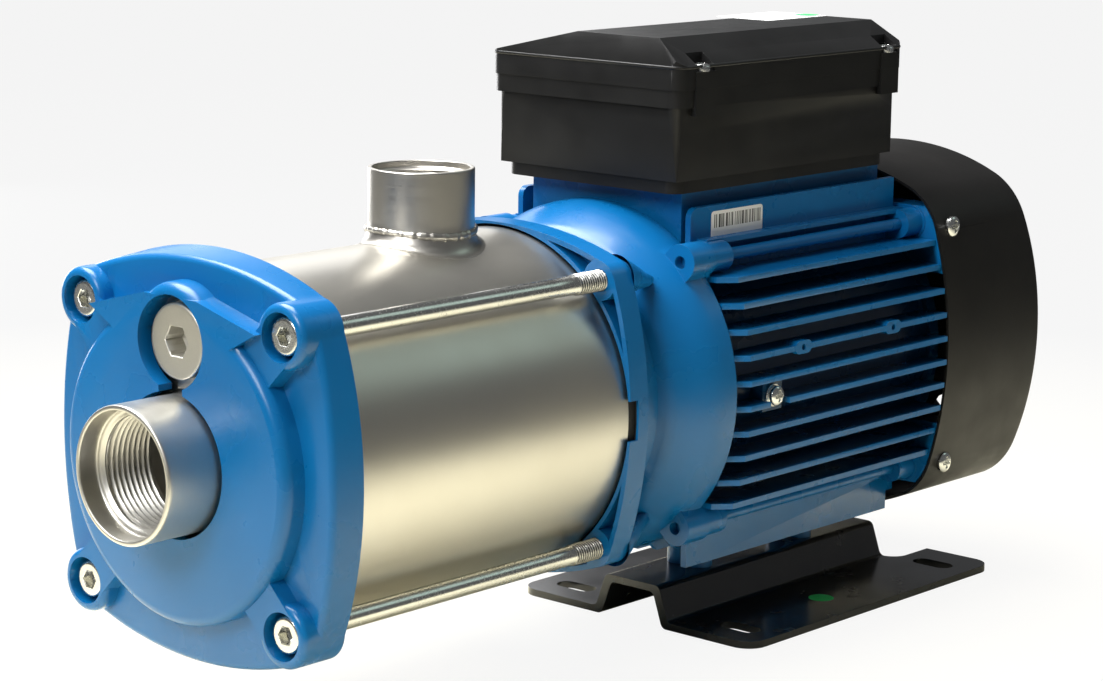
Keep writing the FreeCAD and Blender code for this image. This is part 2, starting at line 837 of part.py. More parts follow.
def pump_shaft():
    """Stepped shaft, one piece from the first impeller to the fan."""
    wet_start = x_first_stage - nut_height + 1.0
    seal_start = x_first_stage + (stage_count - 1) * stage_pitch + impeller_hub_length()
    fan_end = x_fan_end + 5.0
    shoulder_end = x_rear_bearing
    core_end = x_core + core_length
    groove = x_fan_end + 1.0
    return spun([(wet_start, 0), (wet_start, wet_shaft_radius), (seal_start, wet_shaft_radius),
                 (seal_start, seal_shaft_radius), (x_web - 4.0, seal_shaft_radius),
                 (x_web - 2.0, bearing_bore), (x_front_bearing + bearing_width, bearing_bore),
                 (x_front_bearing + bearing_width, shoulder_radius), (x_core, shoulder_radius),
                 (x_core, core_seat_radius), (core_end, core_seat_radius), (core_end, shoulder_radius),
                 (shoulder_end, shoulder_radius), (shoulder_end, bearing_bore),
                 (shoulder_end + bearing_width + 2.0, bearing_bore),
                 (shoulder_end + bearing_width + 2.0, fan_seat_radius),
                 (groove, fan_seat_radius), (groove, fan_seat_radius - clip_groove_depth),
                 (groove + clip_thickness, fan_seat_radius - clip_groove_depth),
                 (groove + clip_thickness, fan_seat_radius), (fan_end, fan_seat_radius), (fan_end, 0)])


def groove_profile(middle, side):
    """Points of a race's ball groove, an octagon round the ball; side is +1 outside, -1 inside."""
    reach = ball_radius + ball_play
    flat = reach * math.tan(math.radians(22.5))
    mouth = reach + flat - race_shoulder
    return [(middle - mouth, ball_pitch_radius + side * race_shoulder),
            (middle - flat, ball_pitch_radius + side * reach),
            (middle + flat, ball_pitch_radius + side * reach),
            (middle + mouth, ball_pitch_radius + side * race_shoulder)]


def bearing_outer_race(start):
    """Outer race with its ball groove."""
    end = start + bearing_width
    shoulder = ball_pitch_radius + race_shoulder
    return spun([(start, bearing_outer), (start, shoulder)]
                + groove_profile(start + bearing_width / 2.0, 1.0)
                + [(end, shoulder), (end, bearing_outer)])


def bearing_inner_race(start):
    """Inner race with its ball groove."""
    end = start + bearing_width
    shoulder = ball_pitch_radius - race_shoulder
    bore = bearing_bore + slip
    return spun([(start, bore), (start, shoulder)]
                + groove_profile(start + bearing_width / 2.0, -1.0)
                + [(end, shoulder), (end, bore)])


def bearing_balls(start):
    """Balls held in their cage, a thin ring on the pitch circle; each ball has a few flat facets."""
    middle = start + bearing_width / 2.0
    cage = ring(middle - cage_width / 2.0, cage_width, ball_pitch_radius + cage_half_thickness,
                ball_pitch_radius - cage_half_thickness)
    reach = ball_radius * math.cos(math.radians(22.5))
    ball = block(middle - reach, middle + reach, -reach, reach,
                 ball_pitch_radius - reach, ball_pitch_radius + reach)
    ball = ball.makeChamfer(reach * (2.0 - math.sqrt(2.0)), ball.Edges)
    balls = [turned_about_x(ball, full_turn * k / ball_count) for k in range(ball_count)]
    return fused([cage] + balls)


def wave_washer():
    """Spring washer behind the rear bearing."""
    return ring(x_rear_bearing + bearing_width, wave_washer_thickness, bearing_outer - edge_break,
                ball_pitch_radius + race_shoulder)


def water_slinger():
    """Rubber disc on the shaft that throws leak water off before the bearing."""
    start = x_web - 12.0
    bore = seal_shaft_radius + slip
    hub = seal_shaft_radius + 3.0
    return spun([(start, bore), (start, slinger_radius), (start + slinger_thickness, slinger_radius),
                 (start + slinger_thickness, hub), (start + 7.0, hub), (start + 7.0, bore)])


# Motor bracket


def flange_pockets():
    """Recesses between the flange's rim and the ring round the casing."""
    inner = bowed_square(x_flange - slip, pocket_depth + slip, flange_half - flange_rim,
                         flange_half - flange_rim, bolt_half_pitch, bolt_half_pitch,
                         flange_corner_radius - flange_rim)
    keep_ring = rod(x_flange - past, pocket_depth + 2.0 * past,
                    casing_radius + casing_lip + seat_gap + flange_ring_wall)
    pockets = inner.cut(keep_ring)
    for y, z in bolt_places:
        pockets = pockets.cut(rod(x_flange - past, pocket_depth + 2.0 * past,
                                  bolt_thread_radius + flange_boss_wall, y, z))
    return pockets


def bracket_shell():
    """Turned body: flange plate core, neck, bowl that flares to the rim, web and bearing hub."""
    neck_end = x_flange_end + neck_length
    bowl_start = neck_end + 3.0
    seat = x_casing_end
    bowl_run = x_rim - 6.0 - bowl_start
    bowl_rise = bowl_radius - bowl_start_radius
    steps = [k / 5.0 for k in range(shield_rib_count)]
    bowl = [(bowl_start + bowl_run * s, bowl_start_radius + bowl_rise * math.sin(s * math.pi / 2.0))
            for s in steps]
    inner_neck = neck_radius - adapter_wall
    web_end = x_web + web_thickness
    hub_outer = bearing_outer + hub_wall
    hub_end = x_front_bearing + bearing_width
    rear_bore = bowl_radius - adapter_wall
    profile = [(x_flange, 0), (x_flange, neck_radius + 2.0), (x_flange_end, neck_radius + 2.0),
               (x_flange_end + 2.0, neck_radius), (neck_end, neck_radius)]
    profile += bowl
    profile += [(x_rim - 1.5, bowl_radius), (x_rim, bowl_radius - 1.5), (x_rim, rear_bore),
                (x_rim - spigot_depth - past, rear_bore),
                (web_end + web_taper_run, rear_bore - web_taper_near),
                (web_end, rear_bore - web_taper_far), (web_end, hub_outer), (hub_end, hub_outer),
                (hub_end, bearing_outer + slip), (x_front_bearing, bearing_outer + slip),
                (x_front_bearing, bearing_outer - 4.0), (x_front_bearing - 3.0, bearing_outer - 4.0),
                (x_front_bearing - 3.0, bearing_bore + 1.0), (x_web, bearing_bore + 1.0),
                (x_web, inner_neck), (seat, inner_neck), (seat, 0)]
    return spun(profile)


def bracket_lug(y, z):
    """Lug on the bowl for a motor stud: round nose with a body that runs into the bowl."""
    start = x_rim - bracket_lug_length
    nose = rod(start, bracket_lug_length, lug_radius, y, z)
    body = block(start, x_rim, -lug_radius, lug_radius, -2.2 * lug_radius, 0)
    body.rotate(point(0, 0, 0), ALONG, -math.degrees(math.atan2(y, z)))
    body.translate(point(0, y, z))
    return fused([nose, body])


def motor_bracket():
    """Cast bracket that joins the pump casing to the motor and carries the front bearing."""
    plate = bowed_square(x_flange, flange_thickness, flange_half, flange_half,
                         bolt_half_pitch, bolt_half_pitch, flange_corner_radius)
    additions = [bracket_shell()]
    for y, z in bolt_places:
        tilt = point(gusset_tilt, -math.copysign(1.0, y), -math.copysign(1.0, z))
        gusset = Part.makeCone(flange_corner_radius, gusset_tip_radius, gusset_length,
                               point(x_flange_end - past, y, z), tilt)
        reach = math.hypot(y, z)
        web = prism([point(x_flange_end - past, -gusset_half_thickness, neck_radius - adapter_wall),
                     point(x_flange_end - past, -gusset_half_thickness, reach),
                     point(x_flange_end + gusset_length, -gusset_half_thickness,
                           neck_radius - adapter_wall)],
                    point(0, 0, 0), point(0, 2.0 * gusset_half_thickness, 0))
        additions += [gusset, turned_about_x(web, math.degrees(math.atan2(-y, z)))]
    additions += [bracket_lug(y, z) for y, z in stud_places]
    body = fused([plate] + additions)
    seat_radius = casing_radius + casing_lip + seat_gap
    body = body.cut(rod(x_flange - slip, casing_seat_depth + slip, seat_radius))
    body = body.cut(rod(x_flange, x_web - x_flange, neck_radius - adapter_wall))
    motor_side = spun([(x_web + web_thickness, bearing_outer + hub_wall),
                       (x_web + web_thickness, bowl_radius - adapter_wall - web_taper_far),
                       (x_web + web_thickness + web_taper_run, bowl_radius - adapter_wall - web_taper_near),
                       (x_rim - spigot_depth - 1.0, bowl_radius - adapter_wall),
                       (x_rim + 1.0, bowl_radius - adapter_wall),
                       (x_rim + 1.0, bearing_outer + hub_wall)])
    body = body.cut(motor_side).cut(flange_pockets())
    window_top = drain_window_height / 2.0
    for side in (-1, 1):
        near = side * (flange_half - flange_rim - drain_bite)
        far = side * (flange_half + 1.0)
        body = body.cut(block(x_flange - slip, x_flange + casing_seat_depth - 1.5, min(near, far),
                              max(near, far), -notch_half_height, notch_half_height))
        middle = -2.0 * window_top
        wall = side * (neck_radius - adapter_wall - drain_bite)
        drain = prism([point(x_flange_end + drain_start, wall, middle - window_top),
                       point(x_flange_end + drain_low_end, wall, middle - window_top),
                       point(x_flange_end + drain_high_end, wall, middle + window_top),
                       point(x_flange_end + drain_start, wall, middle + window_top)],
                      point(0, 0, 0), point(0, side * (drain_bite + 4.0 * adapter_wall), 0))
        body = body.cut(drain)
    for y, z in bolt_places:
        body = body.cut(rod(x_flange - slip, bolt_end_depth + past, bolt_thread_radius + thread_play, y, z))
    for y, z in stud_places:
        body = body.cut(rod(x_rim - bracket_lug_length - slip, bracket_lug_length + past,
                            stud_radius + thread_play, y, z))
    return body


# Stator housing and motor


def fin_tip(height):
    """Distance of the fin tips' arc from the middle plane at a height."""
    centre = fin_tip_half_width - fin_tip_arc_radius
    return centre + math.sqrt(fin_tip_arc_radius ** 2 - height ** 2)


def side_fin(height, root):
    """Flat fin on the -Y side with a slanted front end."""
    tip = fin_tip(height)
    return prism([point(x_rim, -root, 0), point(x_rim, fin_chamfer_depth - tip, 0),
                  point(x_rim + fin_chamfer, -tip, 0), point(x_tail, -tip, 0),
                  point(x_tail, -root, 0)],
                 point(0, 0, height - fin_thickness / 2.0), point(0, 0, fin_thickness))


def fin_heights():
    """Places of the fins across one side."""
    first = (fin_count - 1) * fin_pitch / 2.0
    return [first - k * fin_pitch for k in range(fin_count)]


def fins():
    """Fins on both sides and underneath."""
    row = []
    for height in fin_heights():
        root = math.sqrt(max(housing_radius ** 2 - height ** 2, 0.0)) - 2.0
        fin = side_fin(height, root)
        row.append(fin)
        row.append(mirrored(fin, ACROSS))
        row.append(turned_about_x(fin, 90.0))
    return row


def housing_walls():
    """Upright walls beside the pedestal with their ridges, and the skirts underneath."""
    parts = []
    wall_end = x_tail - side_wall_end
    for side in (-1, 1):
        inner = side * (side_wall_offset - side_wall_thickness / 2.0)
        outer = side * (side_wall_offset + side_wall_thickness / 2.0)
        wall = block(x_rim, wall_end, min(inner, outer), max(inner, outer), 0, side_wall_height)
        front_top = [e for e in wall.Edges if e.BoundBox.XMax < x_rim + slip
                     and e.BoundBox.ZMin > side_wall_height - slip]
        parts.append(wall.makeFillet(side_wall_round, front_top))
        ridge = side * (side_wall_offset + side_wall_thickness / 2.0 + wall_ridge_reach)
        parts.append(block(x_rim + wall_ridge_set_back, wall_end, min(inner, ridge), max(inner, ridge),
                           wall_ridge_height, wall_ridge_height + wall_ridge_thickness))
        middle = side * fin_heights()[0]
        parts.append(block(x_rim, wall_end, middle - side_wall_thickness / 2.0,
                           middle + side_wall_thickness / 2.0, -skirt_depth, -side_wall_offset))
    return parts


def pedestal():
    """Raised seat for the terminal box."""
    return block(x_pedestal, x_pedestal + pedestal_length, -pedestal_half_width,
                 pedestal_half_width, 0, box_floor_height)


def housing_lugs():
    """Lugs at both ends that the motor studs pass through."""
    lugs = []
    for y, z in stud_places:
        inner_y = math.copysign(side_wall_offset - side_wall_thickness / 2.0, y)
        inner_z = math.copysign(fin_heights()[0], z)
        outer_z = z + math.copysign(lug_radius - 2.0, z)
        for x, length in ((x_rim, housing_lug_length), (x_tail - rear_lug_length, rear_lug_length)):
            nose = rod(x, length, lug_radius - past, y, z)
            body = block(x, x + length, min(inner_y, y), max(inner_y, y),
                         min(inner_z, outer_z), max(inner_z, outer_z))
            lugs.append(fused([nose, body]))
    return lugs


def fin_ovals():
    """Two small oval bosses on the tip of a side fin, and their holes."""
    height = fin_heights()[3]
    tip = fin_tip(height)
    ovals = []
    holes = []
    for station in oval_stations:
        x = x_rim + station
        ends = [Part.makeCylinder(oval_radius, 6.0, point(x + side * oval_half_length, -tip, height),
                                  ACROSS) for side in (-1, 1)]
        middle = block(x - oval_half_length, x + oval_half_length, -tip, 6.0 - tip,
                       height - oval_radius, height + oval_radius)
        ovals.append(fused(ends + [middle]))
        holes.append(Part.makeCylinder(oval_hole_radius, 4.0, point(x, -tip - slip, height), ACROSS))
    return ovals, holes


def earth_pad():
    """Flat boss among the fins for the earth screw."""
    x = x_rim + earth_station
    return block(x - earth_pad_half, x + earth_pad_half, earth_pad_depth - fin_tip_half_width,
                 -housing_bore - 2.0, earth_height - earth_pad_half, earth_height + earth_pad_half)


def earth_pad_recess():
    """Room in front of the flat, where the fins stop for the screw's washer."""
    x = x_rim + earth_station
    return block(x - earth_pad_half, x + earth_pad_half, -fin_tip_half_width - past,
                 earth_pad_depth - fin_tip_half_width, earth_height - earth_pad_half,
                 earth_height + earth_pad_half)


def foot_pads():
    """Posts under the housing that stand on the foot plate."""
    top = floor_level + foot_deck_height
    pads = []
    for station in foot_pad_stations:
        for side in (-1, 1):
            place = point(x_rim + station, side * foot_pad_half_pitch_y, top)
            pads.append(Part.makeCylinder(foot_pad_radius, -housing_radius + 2.0 - top, place, UP))
    return pads


def stator_housing():
    """Finned housing: bored tube, fins, walls, pedestal, lugs, foot pads."""
    tube = rod(x_rim, housing_length, housing_radius)
    collar = rod(x_rim, collar_length, housing_radius + 3.0)
    ovals, oval_holes = fin_ovals()
    solids = [tube, collar, pedestal(), earth_pad()]
    solids += fins() + housing_walls() + housing_lugs() + ovals + foot_pads()
    body = fused(solids)
    spigot_outer = bowl_radius - adapter_wall - seat_gap
    spigot = rod(x_rim - spigot_depth, spigot_depth, spigot_outer)
    collar_back = rod(x_rim, collar_length, spigot_outer)
    body = fused([body, spigot, collar_back])
    body = body.cut(rod(x_rim - spigot_depth - slip, housing_length + spigot_depth + past, housing_bore))
    wires = Part.makeCylinder(wire_hole_radius, box_floor_height,
                              point(x_core - wire_hole_set_back, 0, 0), UP)
    body = body.cut(wires).cut(earth_pad_recess())
    for hole in oval_holes:
        body = body.cut(hole)
    for y, z in stud_places:
        body = body.cut(rod(x_rim - slip, housing_length + past, stud_radius + thread_play, y, z))
    for station in foot_pad_stations:
        for side in (-1, 1):
            place = point(x_rim + station, side * foot_pad_half_pitch_y, floor_level + foot_deck_height)
            body = body.cut(Part.makeCylinder(foot_screw_radius + thread_play, foot_screw_bite, place, UP))
    flat = point(x_rim + earth_station, earth_pad_depth - fin_tip_half_width, earth_height)
    screw = Part.makeCylinder(earth_screw_radius + thread_play, earth_screw_length + past, flat, ACROSS)
    return body.cut(screw)


def slot_boxes(length, start, reach):
    """Bars the size of the stator slots."""
    half = slot_width / 2.0
    bore = rotor_core_radius + air_gap
    bar = block(start, start + length, -half, half, bore + 1.5, bore + reach)
    return [turned_about_x(bar, full_turn * k / slot_count) for k in range(slot_count)]


def stator_core():
    """Laminated ring with slots round its bore."""
    bore = rotor_core_radius + air_gap
    body = ring(x_core, core_length, housing_bore - slip, bore)
    for slot in slot_boxes(core_length + 2.0, x_core - 1.0, slot_depth):
        body = body.cut(slot)
    mouth = block(x_core - past, x_core + core_length + past, -1.0, 1.0, bore - past, bore + 3.0)
    for k in range(slot_count):
        body = body.cut(turned_about_x(mouth, full_turn * k / slot_count))
    return body


def stator_windings():
    """Coil bars in the slots and the end turns at both ends."""
    inner = rotor_core_radius + air_gap + 3.0
    outer = housing_bore - 4.0
    cut = 4.0
    rings = []
    for start in (x_core - winding_overhang, x_core + core_length):
        end = start + winding_overhang
        near = cut if start < x_core else 0.5
        far = 0.5 if start < x_core else cut
        rings.append(spun([(start + near, inner), (end - far, inner), (end, inner + far),
                           (end, outer - far), (end - far, outer), (start + near, outer),
                           (start, outer - near), (start, inner + near)]))
    half = slot_width / 2.0 - seat_gap
    low = rotor_core_radius + air_gap + 4.0
    high = rotor_core_radius + air_gap + slot_depth - 0.4
    bar = block(x_core - past, x_core + core_length + past, -half, half, low, high)
    bars = [turned_about_x(bar, full_turn * k / slot_count) for k in range(slot_count)]
    return fused(rings + bars)


def rotor_core():
    """Laminated rotor with its cast end rings."""
    bore = core_seat_radius + slip
    body = ring(x_core, core_length, rotor_core_radius, bore)
    front = ring(x_core - end_ring_length, end_ring_length, end_ring_radius, shoulder_radius + end_ring_gap)
    rear = ring(x_core + core_length, end_ring_length, end_ring_radius, shoulder_radius + end_ring_gap)
    return fused([body, front, rear])


def motor_studs():
    """Studs that clamp bracket, housing and rear shield."""
    start = x_rim - bracket_lug_length + 4.0
    end = x_tail + shield_lug_length + 6.0
    return together([rod(start, end - start, stud_radius, y, z) for y, z in stud_places])


def motor_stud_nuts():
    """Nuts on the studs behind the rear shield."""
    nuts = []
    for y, z in stud_places:
        nut = hexagon(x_tail + shield_lug_length, stud_nut_height, stud_nut_flats, y, z)
        nuts.append(nut.cut(rod(x_tail + shield_lug_length - past, stud_nut_height + 2.0 * past,
                            stud_radius + slip, y, z)))
    return together(nuts)


# Rear end, fan and fan cover


def cover_outline(x, length, inset):
    """Solid with the fan cover's outline, drawn in by an inset."""
    return bowed_square(x, length, cover_half_width - inset, cover_half_height - inset,
                        cover_corner_y, cover_corner_z, cover_corner_radius - inset)


def rear_end_shield():
    """Rear bearing carrier: disc, hub, spigot, ribs, and corner lugs that hold the fan cover."""
    hub_end = x_rear_bearing + bearing_width + wave_washer_thickness + 3.0
    disc = rod(x_tail, shield_thickness, shield_radius)
    hub = rod(x_tail, hub_end - x_tail, shield_hub_radius)
    spigot = ring(x_tail - shield_spigot, shield_spigot, housing_bore - slip, housing_bore - 5.0)
    rib = block(x_tail, hub_end - shield_rib_set_back, -shield_rib_half, shield_rib_half, 0,
                housing_radius - shield_rib_inset)
    ribs = [turned_about_x(rib, full_turn * k / shield_rib_count) for k in range(shield_rib_count)]
    solids = [disc, hub, spigot] + ribs
    lugs = []
    for y, z in stud_places:
        inner_y = math.copysign(stud_half_pitch_y - 22.0, y)
        outer_y = math.copysign(cover_half_width, y)
        inner_z = math.copysign(stud_half_pitch_z - 20.0, z)
        outer_z = math.copysign(stud_half_pitch_z + lug_radius, z)
        lugs.append(block(x_cover, x_tail + shield_lug_length, min(inner_y, outer_y),
                          max(inner_y, outer_y), min(inner_z, outer_z), max(inner_z, outer_z)))
    within = cover_outline(x_tail, shield_lug_length, cover_wall + seat_gap)
    away = rod(x_tail - past, shield_lug_length + 2.0, housing_radius - 4.0)
    lugs = [lug.common(within).cut(away) for lug in lugs]
    nose = [rod(x_tail, shield_lug_length, lug_radius, y, z).common(within) for y, z in stud_places]
    body = fused(solids + lugs + nose)
    body = body.cut(rod(x_tail - shield_spigot - past, x_rear_bearing - x_tail + shield_spigot + 1.0
                        + bearing_width + wave_washer_thickness, bearing_outer + slip))
    body = body.cut(rod(x_tail, hub_end - x_tail + past, bearing_bore + past))
    for y, z in stud_places:
        body = body.cut(rod(x_tail - slip, shield_lug_length + past, stud_radius + thread_play, y, z))
    for hole in cover_screw_bars(cover_screw_radius + thread_play, cover_screw_length + 1.0, 0.0):
        body = body.cut(hole)
    return body


def cover_side(height):
    """Distance of the fan cover's side from the middle plane at a height."""
    bow = bow_radius(cover_half_width, cover_corner_y, cover_corner_z, cover_corner_radius)
    return cover_half_width - bow + math.sqrt(bow ** 2 - height ** 2)


def cover_screw_bars(radius, length, stand_off):
    """Round bars at the four fan cover screws, from outside the cover inwards."""
    bars = []
    for side in (-1, 1):
        for height in (-cover_screw_height, cover_screw_height):
            start = side * (cover_side(height) + stand_off)
            bars.append(Part.makeCylinder(radius, length,
                                          point(x_cover + cover_screw_set_back, start, height),
                                          point(0, -side, 0)))
    return bars


def fan():
    """Cooling fan: hub, rear disc that slopes to the hub, straight blades."""
    bore = rod(x_fan - past, fan_length + 2.0, fan_seat_radius + slip)
    hub = rod(x_fan, fan_length, fan_hub_radius)
    disc_radius_out = fan_radius - fan_disc_margin
    disc = spun([(x_fan, 0), (x_fan, fan_hub_radius + fan_disc_thickness),
                 (x_fan + fan_disc_dish, disc_radius_out),
                 (x_fan + fan_disc_dish + fan_disc_thickness, disc_radius_out), (x_fan + fan_disc_dish, 0)])
    blade = block(x_fan + past, x_fan + fan_length - past, -fan_blade_thickness / 2.0,
                  fan_blade_thickness / 2.0, fan_hub_radius / 2.0, fan_radius)
    corner = [e for e in blade.Edges if e.BoundBox.ZMin > fan_radius - slip
              and e.BoundBox.XMax < x_fan + 1.0 + slip]
    blade = blade.makeChamfer(fan_blade_chamfer, corner)
    blades = [turned_about_x(blade, full_turn * k / fan_blade_count) for k in range(fan_blade_count)]
    return fused([hub, disc] + blades).cut(bore)


def fan_clip():
    """Open retaining ring in the shaft's groove behind the fan."""
    start = x_fan_end + 1.0 + slip
    body = ring(start, clip_thickness - 2.0 * slip, fan_seat_radius + clip_reach, fan_seat_radius - clip_bite)
    return body.cut(block(start - past, start + clip_thickness + past, -2.0, 2.0, -fan_hub_radius, 0))


def grille():
    """Cuts for the air: rings of arc slots parted by spokes."""
    cuts = []
    x = x_end - 2.0 * cover_wall
    spoke = block(x - past, x_end + past, -grille_spoke_half_width, grille_spoke_half_width,
                  -cover_half_height, cover_half_height)
    cross = fused([turned_about_x(spoke, 45.0), turned_about_x(spoke, -45.0)])
    for k in range(grille_ring_count):
        inner = grille_inner_radius + k * (grille_slot_width + grille_bar_width)
        cuts.append(ring(x, 4.0 * cover_wall, inner + grille_slot_width, inner).cut(cross))
    return cuts


def cover_form(inset):
    """Solid with the fan cover's shape, drawn in by an inset: straight sides and a domed back."""
    start = x_cover - (past if inset > 0.0 else 0.0)
    form = cover_outline(start, x_end - start, inset)
    dome = domed_body(start - past, x_end - inset, cover_half_height + cover_corner_radius,
                      cover_flat_radius, cover_dome_radius - inset)
    form = form.common(dome)
    rear = []
    for edge in form.Edges:
        middle = edge.valueAt((edge.FirstParameter + edge.LastParameter) / 2.0)
        away = math.hypot(middle.y, middle.z)
        if edge.BoundBox.XMin > x_cover + past and away > cover_flat_radius + cover_edge_round:
            rear.append(edge)
    return form.makeFillet(cover_edge_round - inset, rear)


def fan_cover():
    """Pressed steel cover with a domed rear and an air grille."""
    body = cover_form(0.0).cut(cover_form(cover_wall))
    for cut in grille():
        body = body.cut(cut)
    for hole in cover_screw_bars(cover_screw_radius + hole_play, 6.0, 2.0):
        body = body.cut(hole)
    return body


def fan_cover_screws():
    """Pan-head screws through the cover's sides."""
    heads = cover_screw_bars(cover_screw_head_radius, cover_screw_head_height + 0.5,
                             cover_screw_head_height)
    shanks = cover_screw_bars(cover_screw_radius, cover_screw_length, 0.0)
    inner = cover_outline(x_cover, cover_length, -slip)
    return together([fused([head.cut(inner), shank]) for head, shank in zip(heads, shanks)])


# Foot plate


def foot_plate():
    """Pressed hat-section plate: two flanges, raised channel, ears at the rear, four slots."""
    deck_y = foot_deck_half_width
    leg_y = deck_y + foot_leg_run
    top = foot_deck_height
    t = foot_thickness
    half = [(foot_half_width, 0), (foot_half_width, t), (leg_y, t), (deck_y, top)]
    under = [(deck_y - t, top - t), (leg_y - t, 0)]
    outline = [(y, z) for y, z in half] + [(-y, z) for y, z in reversed(half)]
    outline += [(-y, z) for y, z in reversed(under)] + [(y, z) for y, z in under]
    end = foot_front + foot_length
    body = prism([point(0, y, z) for y, z in outline], point(foot_front, 0, floor_level),
                 point(foot_length, 0, 0))
    bends = []
    for edge in body.Edges:
        box = edge.BoundBox
        inner = max(abs(box.YMin), abs(box.YMax)) < foot_half_width - 1.0
        if box.XLength > foot_length - 1.0 and inner:
            bends.append(edge)
    body = body.makeFillet(foot_bend_round, bends)
    ear = block(end - foot_ear_length, end + past, -foot_ear_inset, foot_ear_inset,
                floor_level - past, floor_level + top + past)
    upright = [e for e in ear.Edges if abs(e.tangentAt(e.FirstParameter).z) > 0.99
               and e.BoundBox.XMax < end]
    body = body.cut(ear.makeFillet(foot_ear_round, upright))
    plan = rounded_box(foot_front, end, -foot_half_width, foot_half_width,
                       floor_level - 1.0, floor_level + top + 1.0, foot_corner_radius)
    body = body.common(plan)
    straight = slot_length / 2.0 - slot_radius
    for x in (foot_front + slot_front_set_back, foot_front + slot_front_set_back + slot_pitch_x):
        for y in (-slot_half_pitch_y, slot_half_pitch_y):
            ends = [Part.makeCylinder(slot_radius, t + 2.0, point(x, y + s * straight, floor_level - past),
                                      UP) for s in (-1, 1)]
            middle = block(x - slot_radius, x + slot_radius, y - straight, y + straight,
                           floor_level - past, floor_level + t + past)
            body = body.cut(fused(ends + [middle]))
    for station in foot_pad_stations:
        for side in (-1, 1):
            place = point(x_rim + station, side * foot_pad_half_pitch_y, floor_level)
            body = body.cut(Part.makeCylinder(foot_screw_radius + hole_play, shaft_height / 2.0, place, UP))
    return body


def foot_screws():
    """Hexagon screws from under the deck into the housing's posts."""
    screws = []
    seat = floor_level + foot_deck_height - foot_thickness
    for station in foot_pad_stations:
        for side in (-1, 1):
            y = side * foot_pad_half_pitch_y
            head = hexagon(0, foot_screw_head, foot_screw_flats)
            head.rotate(point(0, 0, 0), ALONG, 30)
            head.rotate(point(0, 0, 0), ACROSS, -90)
            head.translate(point(x_rim + station, y, seat - foot_screw_head))
            shank = Part.makeCylinder(foot_screw_radius, foot_thickness + foot_screw_bite - past,
                                      point(x_rim + station, y, seat), UP)
            screws.append(fused([head, shank]))
    return together(screws)


# Terminal box


def box_layer(low, high, grow, radius):
    """Rounded block of the terminal box's plan between two heights, grown outwards."""
    return rounded_box(x_box - grow, x_box + box_length + grow, -box_half_width - grow,
                       box_half_width + grow, box_floor_height + low, box_floor_height + high, radius)


def pillar_places():
    """Middle of each screw pillar along X, and its side."""
    middle = x_box + box_length / 2.0 + pillar_set_back
    half_pitch = box_length / 2.0 - pillar_inset
    return [(middle + s * half_pitch, side) for s in (-1, 1) for side in (-1, 1)]


def screw_y(side):
    """Where a lid screw's axis lies across the box."""
    return side * (box_half_width - lid_screw_inset)


def lid_screw_bar(x, side, radius, low, high):
    """Upright round bar at a lid screw."""
    return Part.makeCylinder(radius, high - low, point(x, screw_y(side), box_floor_height + low), UP)


def pillar(x, side, low, high):
    """Block of a screw pillar between two heights."""
    inner = side * (box_half_width - pillar_half_width)
    outer = side * (box_half_width + pillar_reach)
    return block(x - pillar_half_width, x + pillar_half_width, min(inner, outer), max(inner, outer),
                 box_floor_height + low, box_floor_height + high)


def box_base_wall():
    """Drafted wall between the step and the collar, lofted between two plans."""
    outlines = []
    for z, grow in ((box_step_height, -box_draft), (box_collar_height, 0.0)):
        x0 = x_box - grow
        x1 = x_box + box_length + grow
        y = box_half_width + grow
        height = box_floor_height + z
        corners = [point(x0, -y, height), point(x1, -y, height), point(x1, y, height),
                   point(x0, y, height), point(x0, -y, height)]
        outlines.append(Part.makePolygon(corners))
    wall = Part.makeLoft(outlines, True, True)
    return wall.common(box_layer(0, box_rim_height, 0.0, box_corner_radius))


def terminal_box_base():
    """Open tray on the pedestal: step, drafted wall, collar, screw pillars, gland hole."""
    step = box_layer(0, box_step_height + past, -box_step_inset, box_corner_radius)
    collar = box_layer(box_collar_height, box_rim_height, box_collar, box_corner_radius)
    body = fused([step, box_base_wall(), collar])
    cavity = box_layer(box_wall, box_rim_height + past, -box_wall - box_draft,
                       box_corner_radius - box_wall)
    step_cavity = box_layer(box_wall, box_step_height + box_wall, -box_step_inset - box_wall,
                            box_corner_radius - box_wall)
    upper = cavity.cut(box_layer(0, box_step_height + box_wall, 0, box_corner_radius))
    body = body.cut(fused([upper, step_cavity]))
    corners = [pillar(x, side, box_rim_height - pillar_height, box_rim_height)
               for x, side in pillar_places()]
    body = fused([body] + corners)
    wires = Part.makeCylinder(wire_hole_radius, box_wall * 4.0,
                              point(x_core - wire_hole_set_back, 0, box_floor_height - past), UP)
    body = body.cut(wires)
    gland_hole = Part.makeCylinder(gland_thread_radius + thread_play, box_half_width,
                                   point(gland_x(), box_half_width / 2.0, gland_z()), ACROSS)
    body = body.cut(gland_hole)
    for x, side in pillar_places():
        body = body.cut(lid_screw_bar(x, side, lid_screw_radius + thread_play,
                                      box_rim_height - lid_screw_length + lid_notch_floor, box_rim_height))
    return body


def gland_x():
    """Station of the cable gland."""
    return x_box + box_length * gland_share


def gland_z():
    """Height of the cable gland's axis."""
    return box_floor_height + box_step_height + gland_rise


def terminal_box_gasket():
    """Rubber frame on the tray's rim."""
    inner = -box_wall - box_draft + gasket_overhang
    outer = inner + gasket_width
    frame = box_layer(box_rim_height, box_rim_height + gasket_height, outer, box_corner_radius)
    hole = box_layer(box_rim_height - past, box_rim_height + gasket_height + past, inner,
                     box_corner_radius - gasket_width)
    frame = frame.cut(hole)
    for x, side in pillar_places():
        frame = frame.cut(lid_screw_bar(x, side, lid_screw_radius + seat_gap,
                                        box_rim_height - past, box_rim_height + gasket_height + past))
    return frame


